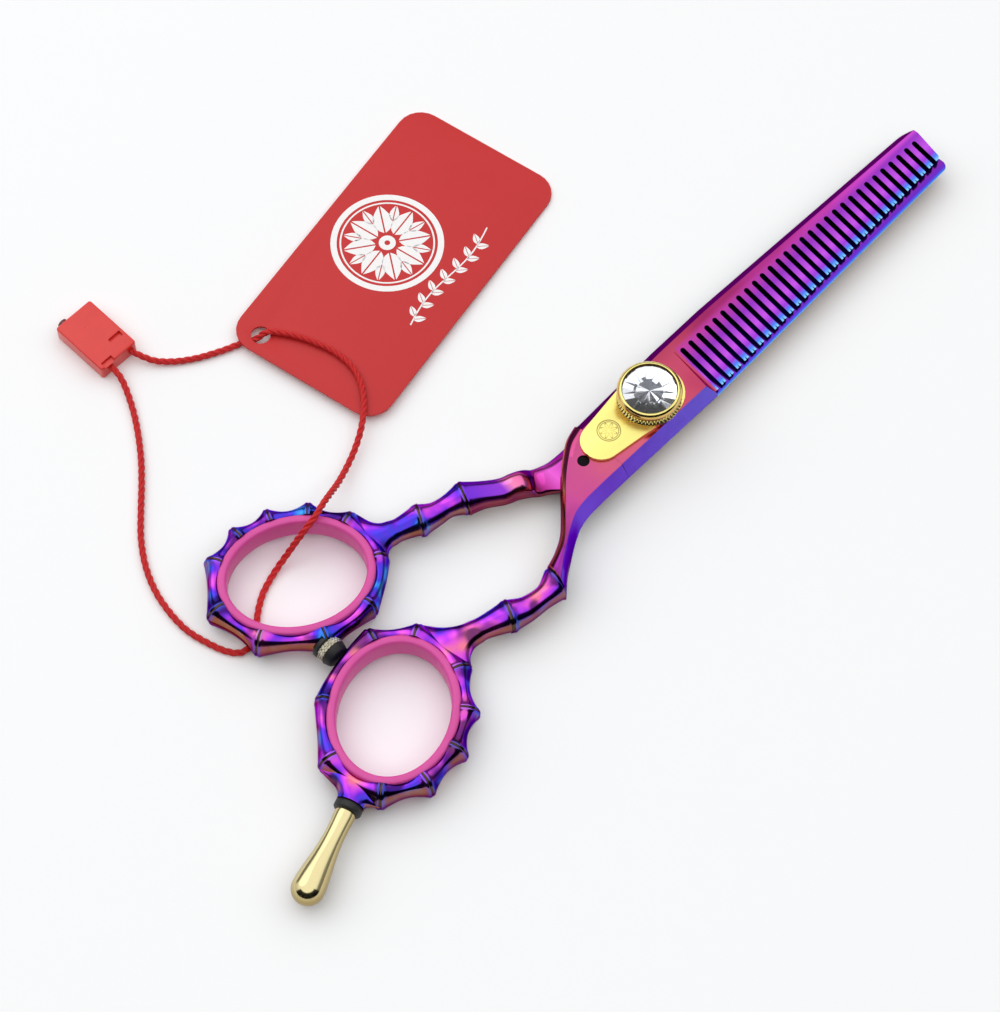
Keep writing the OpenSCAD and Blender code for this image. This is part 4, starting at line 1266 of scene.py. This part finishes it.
def add_rest():
    length = 18.6
    ball_r = 2.8
    waist_r = 1.35
    stud_r = 1.2
    stud_reach = 2.9
    neck = length - REST_WASHER_T - ball_r
    profile = [
        (0, -stud_reach), (stud_r - 0.1, -stud_reach), (stud_r, 0.1 - stud_reach),
        (stud_r, REST_WASHER_T), (1.75, REST_WASHER_T + 0.03),
    ]
    for u in np.linspace(0.04, 1, 30):
        swell = (ball_r - waist_r) * u**3 * (4 - 3 * u)
        profile.append((waist_r + 0.5 * (1 - u) ** 2 + swell, REST_WASHER_T + neck * u))
    for a in np.radians(np.arange(6, 90, 6)):
        profile.append((ball_r * math.cos(a), REST_WASHER_T + neck + ball_r * math.sin(a)))
    profile.append((0, length))
    pale_gold = gold("pale_gold", srgb(222, 208, 156), srgb(170, 148, 98), 0.12)
    lathe(
        "finger_rest_rod", profile, rest_place, "finger_rest_rod", pale_gold,
        ["finger_rest"],
    )
    ring = [
        (1.25, 0.05), (1.9, 0.02), (2.2, 0.12), (2.38, 0.35), (2.4, 0.8), (2.38, 1.25),
        (2.2, 1.48), (1.9, 1.58), (1.25, 1.58),
    ]
    lathe(
        "rest_washer", ring, rest_place, "finger_rest_rod", rubber(),
        ["finger_rest_washer"],
    )


def add_bumper():
    black = rubber()

    def place(node):
        low, high = (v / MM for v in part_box(node))
        spot = Matrix.Translation(((low.x + high.x) / 2, high.y, (low.z + high.z) / 2))
        return spot @ Matrix.Rotation(math.pi / 2, 4, "X"), high.y - low.y, (high.x - low.x) / 2

    spot, length, radius = place("bumper_base")
    profile = [
        (0.82, 0), (radius - 0.15, 0), (radius, 0.15), (radius, length - 0.2),
        (radius - 0.2, length), (0.82, length),
    ]
    lathe("bumper_seat", profile, spot, "bumper", black, ["bumper_base"])

    spot, length, radius = place("bumper_collar")
    inner = [(0.82, 0.02), (radius - 0.25, 0.02)]
    heights = np.linspace(0.12, length - 0.12, 15)
    band = [(radius, h) for h in heights]
    outer = [(radius - 0.25, length - 0.02), (0.82, length - 0.02)]

    def knurl(k, angles):
        if not 2 <= k < 2 + len(heights):
            return 0.0
        height = heights[k - 2]
        left = np.abs((angles * 22 / (2 * math.pi) + height * 1.35) % 1 - 0.5)
        right = np.abs((angles * 22 / (2 * math.pi) - height * 1.35) % 1 - 0.5)
        return 0.2 * (1 - np.minimum(1, 3.2 * np.minimum(left, right)))

    steel = metal("knurled_steel", srgb(206, 200, 180), 0.25)
    lathe(
        "bumper_knurl", inner + band + outer, spot, "bumper", steel,
        ["bumper_collar"], segments=176, ridges=knurl, sharp=30,
    )

    spot, length, radius = place("bumper_tip")
    profile = [
        (0, 0), (radius - 0.1, 0), (radius, 0.1), (radius - 0.35, length - 0.15),
        (radius - 0.55, length), (0, length),
    ]
    lathe("bumper_pad", profile, spot, "bumper", black, ["bumper_tip"])


# ---------------------------------------------------------------- surroundings


def stage_plane(name, size, place, material):
    bm = bmesh.new()
    bmesh.ops.create_grid(bm, x_segments=1, y_segments=1, size=size / 2)
    mesh = bpy.data.meshes.new(name)
    bm.to_mesh(mesh)
    bm.free()
    mesh.materials.append(material)
    made = bpy.data.objects.new(name, mesh)
    made.matrix_world = place
    bpy.context.scene.collection.objects.link(made)
    return made


def add_surroundings():
    floor = Paint("floor", srgb(253, 253, 253), 0.9)
    floor.shader.inputs["Specular IOR Level"].default_value = 0.1
    stage_plane("floor", 6, Matrix.Identity(4), floor.material)

    world = bpy.data.worlds.new("studio")
    bpy.context.scene.world = world
    world.use_nodes = True
    nodes = Nodes(world.node_tree)
    background = world.node_tree.nodes["Background"]
    ray = nodes.add("ShaderNodeTexCoord").outputs["Generated"]
    height = nodes.dot(ray, (0, 0, 1))
    strength = nodes.fade(height, 0.15, 0.75, 0.79, 1.25)
    # Dark parts of the studio: direction, where each begins and is full, heights between which it
    # ends and is full, and the share of the light that is left
    for direction, begins, full, top, bottom, least in (
        (NEAR, 0.12, 0.36, 0.76, 0.6, 0.02),
        (-NEAR, 0.3, 0.6, 0.44, 0.3, 0.3),
        (RIGHT, 0.4, 0.75, 0.5, 0.34, 0.35),
    ):
        side = nodes.fade(nodes.dot(ray, tuple(direction)), begins, full)
        dark = nodes.math("MULTIPLY", side, nodes.fade(height, top, bottom))
        strength = nodes.math("MULTIPLY", strength, nodes.fade(dark, 0, 1, 1.0, least))
    nodes.join(strength, background.inputs["Strength"])
    background.inputs["Color"].default_value = srgb(253, 254, 255)

    key = bpy.data.lights.new("key", "AREA")
    key.shape = "DISK"
    key.size = 0.8
    key.energy = 0.75
    lamp = bpy.data.objects.new("key", key)
    lamp.location = VIEW_TARGET + Vector((-0.08, 0.52, 0.6))
    lamp.rotation_euler = (lamp.location - VIEW_TARGET).to_track_quat("Z", "Y").to_euler()
    bpy.context.scene.collection.objects.link(lamp)


# ---------------------------------------------------------------- the scene

bpy.context.scene.view_settings.view_transform = "Standard"
add_camera()
tag_piece = add_tag()
seal_piece = add_seal()
add_cord()
add_handles(handle_coating())
pink = silicone()
add_insert("thumb_insert", "thumb_ring_insert", "straight_half", THUMB_CENTRE, THUMB_TILT, pink)
add_insert("finger_insert", "finger_ring_insert", "comb_half", FINGER_CENTRE, FINGER_TILT, pink)
add_blades()
gilding = gold("gold_metal", srgb(242, 226, 140), srgb(214, 168, 96), 0.14)
add_knob(gilding)
add_gem()
add_rest()
add_bumper()
refined("click_plate", "ornament_plate", ornament_plate(), bevel=0.08)
refined("plate_pin", "plate_rivet", metal("dark_pin", srgb(26, 22, 26), 0.3), bevel=0.1)
dark_red = plastic("dark_red_pin", srgb(104, 20, 20), srgb(84, 14, 16), 0.3, 0.3)
refined("seal_pin", "seal_rod", dark_red, bevel=0.15)
refined("pivot_screw", "pivot_bolt", gilding, bevel=0.08)
refined("pivot_bushing", "pivot_bush", metal("bronze_bush", srgb(190, 140, 84), 0.3))
nylon = plastic("white_nylon", srgb(238, 238, 232), srgb(228, 228, 222), 0.4)
refined("pivot_washer", "slip_washer", nylon)
steel = metal("spring_steel", srgb(190, 190, 194), 0.25)
refined("spring_washer", "tension_washer", steel)
refined("bumper_stud", "bumper_screw", steel)
add_surroundings()
